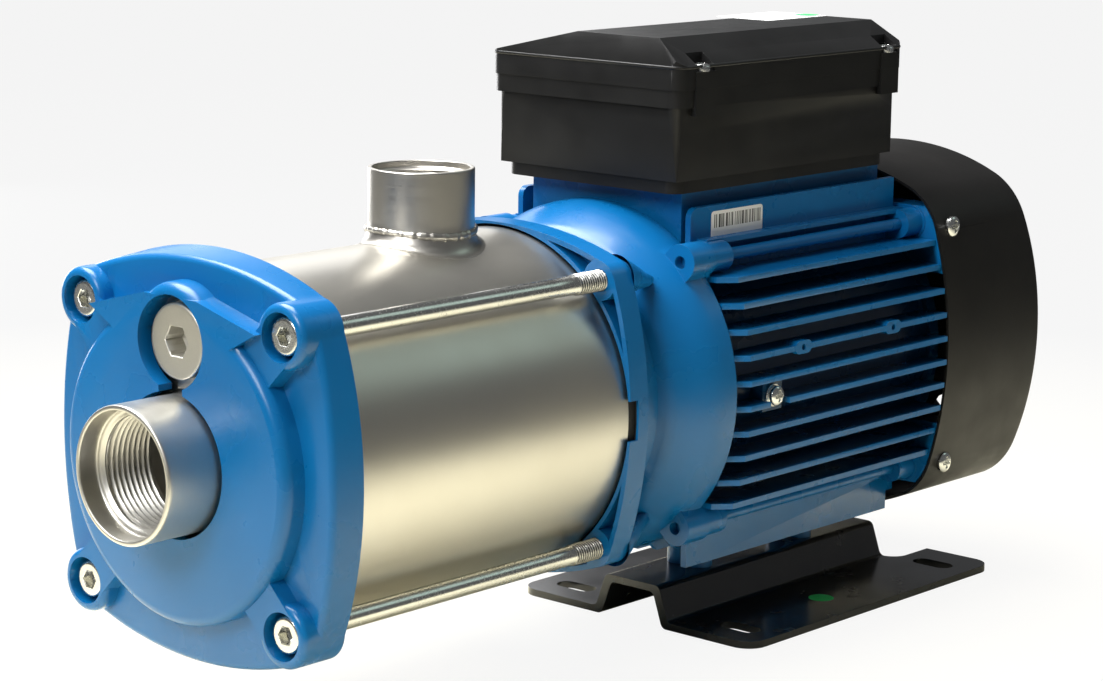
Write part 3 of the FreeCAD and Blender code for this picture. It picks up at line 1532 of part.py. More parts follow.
def lid_form(inset):
    """Lid shape: upright skirt and a roof that slopes in from each side by its own run."""
    grow = lid_overhang - inset
    rim = box_rim_height + lid_skirt_height - inset * lid_eave_share
    top = box_rim_height + lid_skirt_height + lid_roof_height - inset
    low = box_rim_height if inset == 0.0 else box_rim_height - 1.0
    x0 = x_box - grow
    x1 = x_box + box_length + grow
    y = box_half_width + grow
    skirt = block(x0, x1, -y, y, box_floor_height + low, box_floor_height + rim)
    eave = [point(x0, -y, 0), point(x1, -y, 0), point(x1, y, 0), point(x0, y, 0), point(x0, -y, 0)]
    flat_x0 = x_box - lid_overhang + lid_inset_front
    flat_x1 = x_box + box_length + lid_overhang - lid_inset_rear
    near = lid_inset_near - box_half_width - lid_overhang
    far = box_half_width + lid_overhang - lid_inset_far
    flat = [point(flat_x0, near, 0), point(flat_x1, near, 0), point(flat_x1, far, 0),
            point(flat_x0, far, 0), point(flat_x0, near, 0)]
    lower = Part.makePolygon([p + point(0, 0, box_floor_height + rim) for p in eave])
    upper = Part.makePolygon([p + point(0, 0, box_floor_height + top) for p in flat])
    roof = Part.makeLoft([lower, upper], True, True)
    around = box_layer(low, top + past, grow, box_corner_radius)
    return fused([skirt, roof]).common(around)


def terminal_box_lid():
    """Hipped lid with four notched screw places."""
    body = lid_form(0.0).cut(lid_form(box_wall))
    notch_top = lid_skirt_height + lid_roof_height + 1.0
    for x, side in pillar_places():
        post = pillar(x, side, box_rim_height, box_rim_height + lid_notch_floor)
        inner = side * (box_half_width - pillar_half_width + notch_wall)
        outer = side * (box_half_width + pillar_reach + lid_overhang)
        cut = block(x - pillar_half_width + past, x + pillar_half_width - past, min(inner, outer),
                    max(inner, outer), box_floor_height + box_rim_height + lid_notch_floor,
                    box_floor_height + box_rim_height + notch_top)
        wall_inner = side * (box_half_width - pillar_half_width)
        guard = block(x - pillar_half_width, x + pillar_half_width, min(wall_inner, side * box_half_width),
                      max(wall_inner, side * box_half_width),
                      box_floor_height + box_rim_height + lid_notch_floor - notch_wall,
                      box_floor_height + box_rim_height + notch_top)
        guard = guard.common(lid_form(0.0))
        post = post.cut(terminal_box_gasket_space())
        body = fused([body, post, guard]).cut(cut)
        body = body.cut(lid_screw_bar(x, side, lid_screw_radius + hole_play, box_rim_height - past,
                                      box_rim_height + lid_notch_floor + past))
    return body


def terminal_box_gasket_space():
    """Room that the gasket takes, with a little clearance."""
    inner = -box_wall - box_draft + gasket_overhang - seat_gap
    outer = inner + gasket_width + 2.0 * seat_gap
    frame = box_layer(box_rim_height - past, box_rim_height + gasket_height, outer, box_corner_radius)
    hole = box_layer(box_rim_height - 2.0, box_rim_height + gasket_height + past, inner,
                     box_corner_radius - gasket_width)
    return frame.cut(hole)


def terminal_lid_screws():
    """Captive lid screws."""
    screws = []
    seat = box_rim_height + lid_notch_floor
    for x, side in pillar_places():
        head = lid_screw_bar(x, side, lid_screw_head_radius, seat, seat + lid_screw_head_height)
        shank = lid_screw_bar(x, side, lid_screw_radius, seat - lid_screw_length + past, seat)
        screws.append(fused([head, shank]))
    return together(screws)


def terminal_block():
    """Insulating block with barriers and its terminal screws."""
    base = box_floor_height + box_wall
    x0 = x_box + block_set_back
    y0 = block_offset
    body = block(x0, x0 + block_length, y0, y0 + block_width, base, base + block_height - block_step)
    parts = [body]
    bay = block_length / block_bays
    for k in range(block_bays + 1):
        x = min(x0 + k * bay, x0 + block_length - block_fence)
        parts.append(block(x, x + block_fence, y0, y0 + block_width, base, base + block_height))
    for k in range(block_bays):
        seat = point(x0 + (k + 0.5) * bay + block_fence / 2.0 - slip, y0 + block_width / 2.0,
                     base + block_height - block_step)
        parts.append(Part.makeCylinder(block_screw_radius, block_screw_height, seat, UP))
    return fused(parts)


def capacitor():
    """Run capacitor lying in the box, in a round can with two terminals."""
    x0 = x_box + capacitor_set_back
    y = -box_half_width + box_wall + box_draft + box_step_inset + capacitor_radius + capacitor_wall_gap
    z = box_floor_height + box_wall + capacitor_radius
    can = rod(x0, capacitor_length, capacitor_radius, y, z)
    tabs = []
    for middle in (y - tab_spacing, y + tab_spacing):
        tabs.append(block(x0 - tab_length, x0, middle - tab_half_width, middle + tab_half_width,
                          z - tab_half_thickness, z + tab_half_thickness))
    cradle = block(x0 + tab_length, x0 + capacitor_length - tab_length, y - capacitor_radius / 2.0,
                   y + capacitor_radius / 2.0, z - capacitor_radius, z)
    return fused([can, cradle] + tabs)


def cable_gland():
    """Screwed gland on the far side of the box, with its nut inside and a clamping dome."""
    wall = box_half_width
    x = gland_x()
    z = gland_z()
    hex_bar = hexagon(0, gland_hex_length, gland_hex_flats)
    hex_bar.rotate(point(0, 0, 0), UP, 90)
    hex_bar.translate(point(x, wall, z))
    thread = Part.makeCylinder(gland_thread_radius, wall - gland_inner_start() + slip,
                               point(x, gland_inner_start(), z), ACROSS)
    nut = hexagon(0, gland_nut_length, gland_hex_flats)
    nut.rotate(point(0, 0, 0), UP, 90)
    nut.translate(point(x, wall - box_wall - box_draft - gland_nut_length, z))
    dome = Part.makeCylinder(gland_hex_flats / 2.0 - 0.5, gland_dome_length,
                             point(x, wall + gland_hex_length, z), ACROSS)
    rim = [e for e in dome.Edges if e.BoundBox.YMin > wall + gland_hex_length + gland_dome_length - slip]
    dome = dome.makeFillet(4.0, rim[:1])
    bore = Part.makeCylinder(gland_bore, gland_bore_run, point(x, wall - gland_bore_run / 3.0, z), ACROSS)
    return fused([hex_bar, thread, nut, dome]).cut(bore)


def gland_inner_start():
    """Inner end of the gland's thread."""
    return box_half_width - box_wall - box_draft - gland_nut_length - 1.0


def earth_screw():
    """Earth screw with its washer on the housing's flat."""
    x = x_rim + earth_station
    seat = earth_pad_depth - fin_tip_half_width
    head_seat = seat - earth_washer_thickness
    washer = Part.makeCylinder(earth_washer_radius, earth_washer_thickness,
                               point(x, head_seat, earth_height), ACROSS)
    head = Part.makeCylinder(earth_head_radius, earth_head_height,
                             point(x, head_seat - earth_head_height, earth_height), ACROSS)
    shank = Part.makeCylinder(earth_screw_radius, earth_screw_length,
                              point(x, head_seat, earth_height), ACROSS)
    return fused([washer, head, shank])


def pieces():
    """Every piece by its name."""
    found = {
        "front_bracket": front_bracket(), "tie_bolts": tie_bolts(), "pump_casing": pump_casing(),
        "suction_port": suction_port(), "discharge_port": discharge_port(), "fill_boss": fill_boss(),
        "fill_plug": fill_plug(), "fill_plug_seal": fill_plug_seal(), "inlet_guide": inlet_guide(),
        "outlet_chamber": outlet_chamber(),
        "impeller_spacers": impeller_spacers(), "impeller_nut": impeller_nut(),
        "casing_back_plate": casing_back_plate(), "casing_o_ring": casing_o_ring(),
        "seal_seat": seal_seat(), "seal_rotating_ring": seal_rotating_ring(),
        "pump_shaft": pump_shaft(), "wave_washer": wave_washer(), "water_slinger": water_slinger(),
        "motor_bracket": motor_bracket(), "stator_housing": stator_housing(),
        "stator_core": stator_core(), "stator_windings": stator_windings(),
        "rotor_core": rotor_core(), "motor_studs": motor_studs(),
        "motor_stud_nuts": motor_stud_nuts(), "rear_end_shield": rear_end_shield(), "fan": fan(),
        "fan_clip": fan_clip(), "fan_cover": fan_cover(), "fan_cover_screws": fan_cover_screws(),
        "foot_plate": foot_plate(), "foot_screws": foot_screws(),
        "terminal_box_base": terminal_box_base(), "terminal_box_gasket": terminal_box_gasket(),
        "terminal_box_lid": terminal_box_lid(), "terminal_lid_screws": terminal_lid_screws(),
        "terminal_block": terminal_block(), "capacitor": capacitor(), "cable_gland": cable_gland(),
        "earth_screw": earth_screw(),
    }
    for k in range(stage_count):
        start = x_first_stage + k * stage_pitch
        found["impeller_%d" % (k + 1)] = impeller(start)
        found["stage_chamber_%d" % (k + 1)] = stage_chamber(start)
    for name, start in (("front", x_front_bearing), ("rear", x_rear_bearing)):
        found[name + "_bearing_outer_race"] = bearing_outer_race(start)
        found[name + "_bearing_inner_race"] = bearing_inner_race(start)
        found[name + "_bearing_balls"] = bearing_balls(start)
    return found


os.makedirs("parts", exist_ok=True)
for piece_name, piece in pieces().items():
    piece.translate(point(-x_middle, 0, shaft_height))
    piece.exportStep("parts/%s.step" % piece_name)
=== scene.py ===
"""Looks of a horizontal multistage pump with its close-coupled motor, dressed over its solid model.

Shapes are worked out in the pump's own shaft frame, in millimetres: X runs along the shaft from
the front disc's face towards the fan, Y across, Z up from the shaft's axis. ``to_row`` carries them
to the part's frame, in metres.
"""

import json
import logging
import math
from dataclasses import dataclass, field
from enum import Enum
from typing import Callable, Iterable, Optional, Sequence, Union

import bmesh
import bpy
import numpy as np
from mathutils import Matrix, Vector


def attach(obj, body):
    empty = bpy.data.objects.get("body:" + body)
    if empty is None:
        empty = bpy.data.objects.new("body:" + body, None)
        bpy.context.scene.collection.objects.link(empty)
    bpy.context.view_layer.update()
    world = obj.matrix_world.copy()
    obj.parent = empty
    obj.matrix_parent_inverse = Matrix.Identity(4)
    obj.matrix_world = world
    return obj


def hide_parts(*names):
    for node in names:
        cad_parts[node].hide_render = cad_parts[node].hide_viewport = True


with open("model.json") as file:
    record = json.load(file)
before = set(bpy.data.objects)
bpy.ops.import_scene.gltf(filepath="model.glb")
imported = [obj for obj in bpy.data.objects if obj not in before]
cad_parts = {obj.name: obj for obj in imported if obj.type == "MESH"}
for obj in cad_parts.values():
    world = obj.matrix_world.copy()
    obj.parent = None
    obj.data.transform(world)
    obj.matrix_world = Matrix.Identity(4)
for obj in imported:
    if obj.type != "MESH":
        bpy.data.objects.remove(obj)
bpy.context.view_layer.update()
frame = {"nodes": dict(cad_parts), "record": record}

LOG = logging.getLogger("pump")
SHAFT_TO_ROW = np.array([-205.7, 0.0, 105.8])
MM = 0.001
TURN = 2.0 * math.pi
FRAME_BODY = "pump_frame"

Number = Union[int, float]
Colour = tuple[float, float, float]
Spot = tuple[float, float]


def to_row(points: np.ndarray) -> np.ndarray:
    """Shaft-frame millimetres as row-frame metres: the shift is added, then the unit changed."""
    return (np.asarray(points, float) + SHAFT_TO_ROW) * MM


def smoothstep(value: np.ndarray, low: float, high: float) -> np.ndarray:
    """Eases from 0 at low to 1 at high: 3t squared less 2t cubed, t clamped between them."""
    t = np.clip((np.asarray(value, float) - low) / (high - low), 0.0, 1.0)
    return t * t * (3.0 - 2.0 * t)


# Shader maths


class Field:
    """One value or colour in a material, with Python's operators as Math nodes."""

    def __init__(self, graph: "Graph", socket: bpy.types.NodeSocket) -> None:
        """Wraps a socket.

        Args:
            graph: the material's node builder.
            socket: the output that carries the value.
        """
        self.graph = graph
        self.socket = socket

    def _math(self, operation: str, first: object, second: object = None) -> "Field":
        """Adds a Math node.

        Args:
            operation: the node's operation.
            first: its first input.
            second: its second input, where it has one.

        Returns:
            The node's result.
        """
        values = {0: first} if second is None else {0: first, 1: second}
        return self.graph.node("ShaderNodeMath", {"operation": operation}, values)

    def __add__(self, other: object) -> "Field":
        """self + other."""
        return self._math("ADD", self, other)

    __radd__ = __add__

    def __sub__(self, other: object) -> "Field":
        """self - other."""
        return self._math("SUBTRACT", self, other)

    def __rsub__(self, other: object) -> "Field":
        """other - self."""
        return self._math("SUBTRACT", other, self)

    def __mul__(self, other: object) -> "Field":
        """self * other."""
        return self._math("MULTIPLY", self, other)

    __rmul__ = __mul__

    def __truediv__(self, other: object) -> "Field":
        """self / other."""
        return self._math("DIVIDE", self, other)

    def __rtruediv__(self, other: object) -> "Field":
        """other / self."""
        return self._math("DIVIDE", other, self)

    def __pow__(self, other: object) -> "Field":
        """self to the power of other."""
        return self._math("POWER", self, other)

    def __lt__(self, other: object) -> "Field":
        """1 where self is below other."""
        return self._math("LESS_THAN", self, other)

    def __gt__(self, other: object) -> "Field":
        """1 where self is above other."""
        return self._math("GREATER_THAN", self, other)

    def __abs__(self) -> "Field":
        """The size of self."""
        return self._math("ABSOLUTE", self)

    def sine(self) -> "Field":
        """The sine of self, in radians."""
        return self._math("SINE", self)

    def least(self, other: object) -> "Field":
        """The smaller of the two."""
        return self._math("MINIMUM", self, other)

    def most(self, other: object) -> "Field":
        """The larger of the two."""
        return self._math("MAXIMUM", self, other)


class Graph:
    """Builds one material's nodes around its Principled shader."""

    def __init__(self, name: str) -> None:
        """Starts an empty material with a shader and an output.

        Args:
            name: the material's name.
        """
        self.material = bpy.data.materials.new(name)
        self.material.use_nodes = True
        self.tree = self.material.node_tree
        self.tree.nodes.clear()
        self.shader = self.tree.nodes.new("ShaderNodeBsdfPrincipled")
        self.output = self.tree.nodes.new("ShaderNodeOutputMaterial")
        self.tree.links.new(self.shader.outputs[0], self.output.inputs["Surface"])
        self._places: dict[str, Field] = {}

    def _feed(self, socket: bpy.types.NodeSocket, value: object) -> None:
        """Links a field to a socket, or writes a plain value there.

        Args:
            socket: the input to feed.
            value: a Field, a number or a colour.
        """
        if isinstance(value, Field):
            self.tree.links.new(value.socket, socket)
        elif isinstance(value, (tuple, list)) and len(value) == 3 and socket.type == "RGBA":
            socket.default_value = (*value, 1.0)
        else:
            socket.default_value = value

    def node(self, kind: str, settings: Optional[dict[str, object]] = None,
             inputs: Optional[dict[Union[int, str], object]] = None,
             output: Union[int, str] = 0) -> Field:
        """Adds any node.

        Args:
            kind: the node's type.
            settings: its properties; ``stops`` sets a colour ramp's stops as (place, colour).
            inputs: values or fields for its sockets.
            output: which output to hand back.

        Returns:
            The chosen output.
        """
        made = self.tree.nodes.new(kind)
        for key, value in (settings or {}).items():
            if key == "stops":
                ramp = made.color_ramp
                while len(ramp.elements) > 1:
                    ramp.elements.remove(ramp.elements[-1])
                for index, (place, colour) in enumerate(value):
                    stop = ramp.elements[0] if index == 0 else ramp.elements.new(place)
                    stop.position = place
                    stop.color = (*colour, 1.0)
            else:
                setattr(made, key, value)
        for key, value in (inputs or {}).items():
            self._feed(made.inputs[key], value)
        return Field(self, made.outputs[output])

    def place(self, scale: Colour = (1.0, 1.0, 1.0), shift: Colour = (0.0, 0.0, 0.0)) -> Field:
        """Object coordinates, scaled and shifted by a Mapping node."""
        key = repr((scale, shift))
        if key not in self._places:
            raw = self.node("ShaderNodeTexCoord", output="Object")
            self._places[key] = self.node("ShaderNodeMapping", {"vector_type": "POINT"},
                                          {"Vector": raw, "Scale": scale, "Location": shift})
        return self._places[key]

    def axes(self) -> tuple[Field, Field, Field]:
        """The three object coordinates as fields, in metres."""
        raw = self.place()
        return tuple(self.node("ShaderNodeSeparateXYZ", inputs={0: raw}, output=k)
                     for k in range(3))

    def noise(self, scale: Number, stretch: Colour = (1.0, 1.0, 1.0), detail: Number = 3.0,
              roughness: Number = 0.5) -> Field:
        """Soft noise around 0.5, with its cells per metre and a stretch along each axis."""
        return self.node("ShaderNodeTexNoise",
                         inputs={"Vector": self.place(stretch), "Scale": scale,
                                 "Detail": detail, "Roughness": roughness})

    def cells(self, scale: Number) -> Field:
        """Distance to the nearest of scattered points, with that many cells per metre."""
        return self.node("ShaderNodeTexVoronoi", inputs={"Vector": self.place(), "Scale": scale})

    def ramp(self, value: Field, low: Number, high: Number, start: Number = 0.0,
             end: Number = 1.0) -> Field:
        """The value's run from low to high carried, clamped, to start and end."""
        return self.node("ShaderNodeMapRange", {"clamp": True},
                         {"Value": value, "From Min": low, "From Max": high, "To Min": start,
                          "To Max": end})

    def blend(self, share: Union[Field, Number], first: object, second: object) -> Field:
        """Colour between two, by a share."""
        return self.node("ShaderNodeMix", {"data_type": "RGBA"}, {0: share, 6: first, 7: second}, 2)

    def bump(self, height: Field, depth_mm: float, strength: float = 1.0,
             normal: Optional[Field] = None) -> Field:
        """Normal bent by a height that spans that many millimetres."""
        inputs = {"Height": height, "Distance": depth_mm * MM, "Strength": strength}
        if normal is not None:
            inputs["Normal"] = normal
        return self.node("ShaderNodeBump", inputs=inputs)

    def dress(self, **sockets: object) -> bpy.types.Material:
        """Feeds the shader's sockets, named with underscores for spaces.

        Args:
            **sockets: values or fields, such as Base_Color or Roughness.

        Returns:
            The finished material.
        """
        for key, value in sockets.items():
            self._feed(self.shader.inputs[key.replace("_", " ")], value)
        return self.material


# Finishes


class Lay(Enum):
    """Which axis a metal surface's fine lines run round."""

    ROUND_X = (1.0, 0.03, 0.03)
    ROUND_Z = (0.03, 0.03, 1.0)
    EVEN = (1.0, 1.0, 1.0)


# Black painted in as shade: on the casing's end by the motor bracket and in the tie bolts' thread
# roots.
SHADE_BLACK: Colour = (0.004, 0.004, 0.004)


@dataclass(frozen=True)
class FinGapShade:
    """Painted shade between the cooling fins: the paint darkens to a blue-black deeper in, where
    shade falls.
    """

    rim: float = 0.01630
    chamfer: float = 0.0065
    chamfer_depth: float = 0.0055
    tip_arc: float = 0.1310
    tip_centre: float = 0.0605
    shaft_height: float = 0.1058
    half_height: float = 0.0435
    lit_edge: float = 0.0012
    fade: float = 0.0016
    past_rim: float = 0.0005
    strength: float = 0.85
    gap_shade_colour: Colour = (0.002, 0.022, 0.055)

    def share(self, graph: Graph) -> Field:
        """How much painted shade a point gets: how far it lies between the fins.

        Args:
            graph: the material that asks.

        Returns:
            Nought at the fin tips and outside the housing, one deeper in. The tips lie on an arc:
            the root of (sideways distance plus the arc's offset) squared plus height squared.
        """
        along, across, up = graph.axes()
        height = up - self.shaft_height
        start = ((self.rim + self.chamfer - along) / self.chamfer).most(0.0).least(1.0)
        side = abs(across) + start * self.chamfer_depth + self.tip_centre
        reach = (side * side + height * height) ** 0.5
        deep = graph.ramp(self.tip_arc - reach, self.lit_edge, self.lit_edge + self.fade)
        among = (abs(height) < self.half_height) * (along > self.rim + self.past_rim)
        return deep * among * self.strength


@dataclass(frozen=True)
class Paint:
    """Sprayed enamel over a casting: slight orange peel, tone that drifts, soft gloss."""

    name: str
    colour: Colour
    deep: Colour
    roughness: float = 0.27
    peel_mm: float = 0.006
    peel_cells: float = 420.0
    cast_mm: float = 0.004
    coat: float = 0.5
    specular: float = 0.5
    shaded_fins: bool = False
    drift_cells: float = 14.0
    cast_cells: float = 90.0
    gloss_cells: float = 60.0

    def build(self) -> bpy.types.Material:
        """The paint as a material."""
        graph = Graph(self.name)
        drift = graph.ramp(graph.noise(self.drift_cells, detail=2.0), 0.3, 0.7)
        tone = graph.blend(drift * 0.7, self.colour, self.deep)
        # Painted shade: the paint is blended towards a blue-black deeper between the fins.
        if self.shaded_fins:
            fin_shade = FinGapShade()
            tone = graph.blend(fin_shade.share(graph), tone, fin_shade.gap_shade_colour)
        peel = graph.noise(self.peel_cells, detail=2.0)
        cast = graph.noise(self.cast_cells, detail=3.0)
        gloss = graph.ramp(graph.noise(self.gloss_cells), 0.3, 0.7, self.roughness - 0.05,
                           self.roughness + 0.07)
        low = graph.bump(cast, self.cast_mm)
        return graph.dress(Base_Color=tone, Roughness=gloss, Coat_Weight=self.coat,
                           Coat_Roughness=0.12, Specular_IOR_Level=self.specular,
                           Normal=graph.bump(peel, self.peel_mm, normal=low))


@dataclass(frozen=True)
class ThreadRootShade:
    """Painted shade in the grooves of the four tie bolts' threads, where the valleys fall dark."""

    pitch_circle: float = 0.0504
    shaft_height: float = 0.1058
    start: float = -0.0580
    root: float = 0.00350
    crest: float = 0.00398

    def share(self, graph: Graph) -> Field:
        """How deep in a groove a point lies.

        Args:
            graph: the material that asks.

        Returns:
            One at the groove's floor, nought at its crest and before the thread. The distance from
            the nearest bolt's middle is the root of the two offsets' squares.
        """
        along, across, up = graph.axes()
        sideways = abs(across) - self.pitch_circle
        height = abs(up - self.shaft_height) - self.pitch_circle
        reach = (sideways * sideways + height * height) ** 0.5
        return (1.0 - graph.ramp(reach, self.root, self.crest)) * (along > self.start)


@dataclass(frozen=True)
class Steel:
    """Bare metal with fine lines, faint clouding and small changes of gloss."""

    name: str
    colour: Colour
    stained: Colour
    lay: Lay
    roughness: float = 0.28
    lines_per_metre: float = 1500.0
    line_mm: float = 0.012
    clouding: float = 0.5
    gloss_spread: float = 0.08
    # Painted shade: black and dull past this distance along the shaft.
    dark_from: float = 9.0
    shaded_thread_roots: bool = False

    def build(self) -> bpy.types.Material:
        """The metal as a material, painted black and dull as shade beyond a distance along the
        shaft, or in the thread roots where asked.
        """
        graph = Graph(self.name)
        lines = graph.noise(self.lines_per_metre, self.lay.value, detail=4.0, roughness=0.7)
        clouds = graph.ramp(graph.noise(22.0, detail=5.0, roughness=0.6), 0.35, 0.7)
        tone = graph.blend(clouds * self.clouding, self.colour, self.stained)
        gloss = graph.ramp(lines, 0.25, 0.75, self.roughness - self.gloss_spread,
                           self.roughness + self.gloss_spread)
        # Painted shade: black and dull past dark_from along the shaft, or in the tie bolts' thread
        # roots.
        dark = graph.axes()[0] > self.dark_from
        if self.shaded_thread_roots:
            dark = ThreadRootShade().share(graph)
        return graph.dress(Base_Color=graph.blend(dark, tone, SHADE_BLACK),
                           Metallic=1.0 - dark, Roughness=gloss + clouds * 0.05 + dark * 0.4,
                           Normal=graph.bump(lines, self.line_mm))


@dataclass(frozen=True)
class Plastic:
    """Moulded plastic or rubber with a fine grain."""

    name: str
    colour: Colour
    worn: Colour
    roughness: float = 0.45
    grain_cells: float = 1800.0
    grain_mm: float = 0.03
    coat: float = 0.0
    specular: float = 0.5

    def build(self) -> bpy.types.Material:
        """The plastic as a material."""
        graph = Graph(self.name)
        grain = graph.cells(self.grain_cells)
        drift = graph.ramp(graph.noise(30.0, detail=4.0), 0.35, 0.7)
        tone = graph.blend(drift, self.colour, self.worn)
        gloss = graph.ramp(graph.noise(80.0), 0.3, 0.7, self.roughness - 0.05,
                           self.roughness + 0.06)
        return graph.dress(Base_Color=tone, Roughness=gloss, Coat_Weight=self.coat,
                           Specular_IOR_Level=self.specular,
                           Normal=graph.bump(grain, self.grain_mm))


@dataclass(frozen=True)
class Laminations:
    """Stacked sheet steel: thin lines across the shaft's axis."""

    name: str
    colour: Colour
    pitch_mm: float = 0.5

    def build(self) -> bpy.types.Material:
        """The stack as a material."""
        graph = Graph(self.name)
        along = graph.axes()[0]
        wave = (along * (TURN / (self.pitch_mm * MM))).sine() * 0.5 + 0.5
        rust = graph.ramp(graph.noise(40.0, detail=5.0), 0.5, 0.75)
        tone = graph.blend(rust * 0.5, self.colour, (0.16, 0.09, 0.05))
        return graph.dress(Base_Color=tone, Metallic=0.9, Roughness=0.42 + wave * 0.1,
                           Normal=graph.bump(wave, 0.05))


@dataclass(frozen=True)
class Windings:
    """Enamelled wire: round strands side by side, laced across."""

    name: str
    colour: Colour
    dark: Colour
    strand_mm: float = 0.9

    def build(self) -> bpy.types.Material:
        """The wire as a material."""
        graph = Graph(self.name)
        _, across, up = graph.axes()
        round_axis = (across * across + up * up) ** 0.5
        strands = abs((round_axis * (math.pi / (self.strand_mm * MM))).sine())
        wander = graph.noise(120.0, detail=3.0)
        tone = graph.blend(strands * 0.7 + wander * 0.3, self.dark, self.colour)
        return graph.dress(Base_Color=tone, Metallic=0.85, Roughness=0.32 + wander * 0.1,
                           Normal=graph.bump(strands, 0.3))


@dataclass(frozen=True)
class Sticker:
    """Paper label: white, with plain dark bars between two heights."""

    name: str
    middle_x: float
    low_z: float
    high_z: float
    half_width: float = 14.6

    def build(self) -> bpy.types.Material:
        """The label as a material."""
        graph = Graph(self.name)
        along, _, up = graph.axes()
        place = (along - self.middle_x) * 1000.0
        stripes = graph.noise(1.0, (900.0, 0.0, 0.0), detail=1.0, roughness=0.9)
        bars = graph.ramp(stripes, 0.49, 0.51)
        inside = (abs(place) < self.half_width) * (up > self.low_z) * (up < self.high_z)
        fibre = graph.noise(700.0, detail=3.0)
        paper = graph.blend(fibre * 0.3, (0.86, 0.86, 0.85), (0.74, 0.74, 0.73))
        tone = graph.blend(bars * inside, paper, (0.03, 0.03, 0.03))
        return graph.dress(Base_Color=tone, Roughness=0.42 + fibre * 0.1,
                           Normal=graph.bump(fibre, 0.01))


STEEL_GREY: Colour = (0.60, 0.59, 0.57)
STEEL_WARM: Colour = (0.50, 0.47, 0.41)

FINISHES = {
    "blue_paint": Paint("pump_blue_enamel", (0.002, 0.122, 0.335), (0.0015, 0.105, 0.295), 0.29,
                        coat=0.10, specular=0.35, shaded_fins=True),
    # The casing is painted black and dull as shade past 163 mm along the shaft, at its end where it
    # meets the motor bracket.
    "casing_stainless": Steel("drawn_stainless", (0.60, 0.58, 0.53), (0.55, 0.52, 0.45),
                              Lay.ROUND_X, 0.33, 1400.0, 0.0001, 0.3, 0.008, dark_from=-0.0425),
    "port_stainless": Steel("turned_stainless", (0.60, 0.59, 0.55), (0.53, 0.50, 0.44), Lay.ROUND_X,
                            0.36, 2200.0, 0.006, 0.4),
    "stainless": Steel("pressed_stainless", STEEL_GREY, STEEL_WARM, Lay.EVEN, 0.3, 600.0),
    "zinc_plated": Steel("bright_zinc", (0.70, 0.71, 0.70), (0.58, 0.58, 0.55), Lay.EVEN, 0.2,
                         900.0, 0.010, 0.6),
    "black_paint": Paint("black_powder_coat", (0.010, 0.010, 0.011), (0.016, 0.016, 0.017), 0.22,
                         0.014, 500.0, 0.01, 0.3),
    "cover_black": Paint("black_cover_paint", (0.006, 0.0055, 0.005), (0.009, 0.008, 0.007), 0.42,
                         0.01, 600.0, 0.006, 0.0, 0.27),
    "box_plastic": Plastic("black_moulding", (0.008, 0.008, 0.008), (0.012, 0.012, 0.012), 0.36,
                           1500.0, 0.008, specular=0.28),
    "gland_plastic": Plastic("gland_nylon", (0.014, 0.014, 0.015), (0.022, 0.022, 0.023), 0.42),
    "rubber": Plastic("seal_rubber", (0.016, 0.016, 0.016), (0.028, 0.028, 0.028), 0.7, 900.0),
    "carbon": Plastic("lapped_carbon", (0.030, 0.030, 0.033), (0.050, 0.050, 0.055), 0.35, 1200.0),
    "seal_ceramic": Plastic("lapped_ceramic", (0.74, 0.71, 0.64), (0.68, 0.64, 0.56), 0.22, 700.0,
                            0.008, 0.4),
    "bearing_steel": Steel("ground_bearing_steel", (0.68, 0.68, 0.69), (0.60, 0.60, 0.60),
                           Lay.ROUND_X, 0.14, 2500.0, 0.006, 0.4),
    "core_steel": Laminations("core_laminations", (0.30, 0.30, 0.31)),
    "copper": Windings("enamelled_wire", (0.62, 0.24, 0.09), (0.22, 0.07, 0.03)),
    "fan_plastic": Plastic("fan_moulding", (0.022, 0.022, 0.023), (0.034, 0.034, 0.035), 0.48),
    "block_plastic": Plastic("terminal_moulding", (0.62, 0.59, 0.50), (0.55, 0.52, 0.43), 0.4,
                             1200.0),
    "capacitor_can": Plastic("capacitor_shell", (0.70, 0.70, 0.67), (0.62, 0.62, 0.60), 0.25, 800.0,
                             0.01, 0.3),
}


class Wardrobe:
    """Makes each finish once and puts it on nodes and pieces."""

    def __init__(self) -> None:
        """Starts with nothing made."""
        self._made: dict[str, bpy.types.Material] = {}

    def material(self, slot: str) -> bpy.types.Material:
        """The material of one of the record's slots."""
        if slot not in self._made:
            self._made[slot] = FINISHES[slot].build()
        return self._made[slot]

    def special(self, finish: object) -> bpy.types.Material:
        """The material of a finish that no slot has."""
        if finish.name not in self._made:
            self._made[finish.name] = finish.build()
        return self._made[finish.name]

    def dress_nodes(self) -> None:
        """Gives every node of the solid model its slot's finish."""
        slots = {row["node"]: row["material_slot"] for row in frame["record"]["subparts"]}
        for name, node in frame["nodes"].items():
            node.data.materials.clear()
            node.data.materials.append(self.material(slots[name]))
            LOG.info("dressed node %s in %s", name, slots[name])


# Shapes


@dataclass(frozen=True)
class Axis:
    """A line in the shaft frame that shapes are turned about."""

    origin: Colour
    along: Colour

    def sides(self) -> tuple[np.ndarray, np.ndarray, np.ndarray]:
        """Unit vectors along the axis and across it."""
        along = np.array(self.along, float)
        helper = np.array([0.0, 0.0, 1.0]) if abs(along[2]) < 0.9 else np.array([1.0, 0.0, 0.0])
        first = np.cross(helper, along)
        first /= np.linalg.norm(first)
        return along, first, np.cross(along, first)

    def place(self, along: np.ndarray, radius: np.ndarray, angle: np.ndarray) -> np.ndarray:
        """Points at distances along and from the axis, at an angle round it."""
        axis, first, second = self.sides()
        return (np.array(self.origin) + along[..., None] * axis
                + (radius * np.cos(angle))[..., None] * first
                + (radius * np.sin(angle))[..., None] * second)


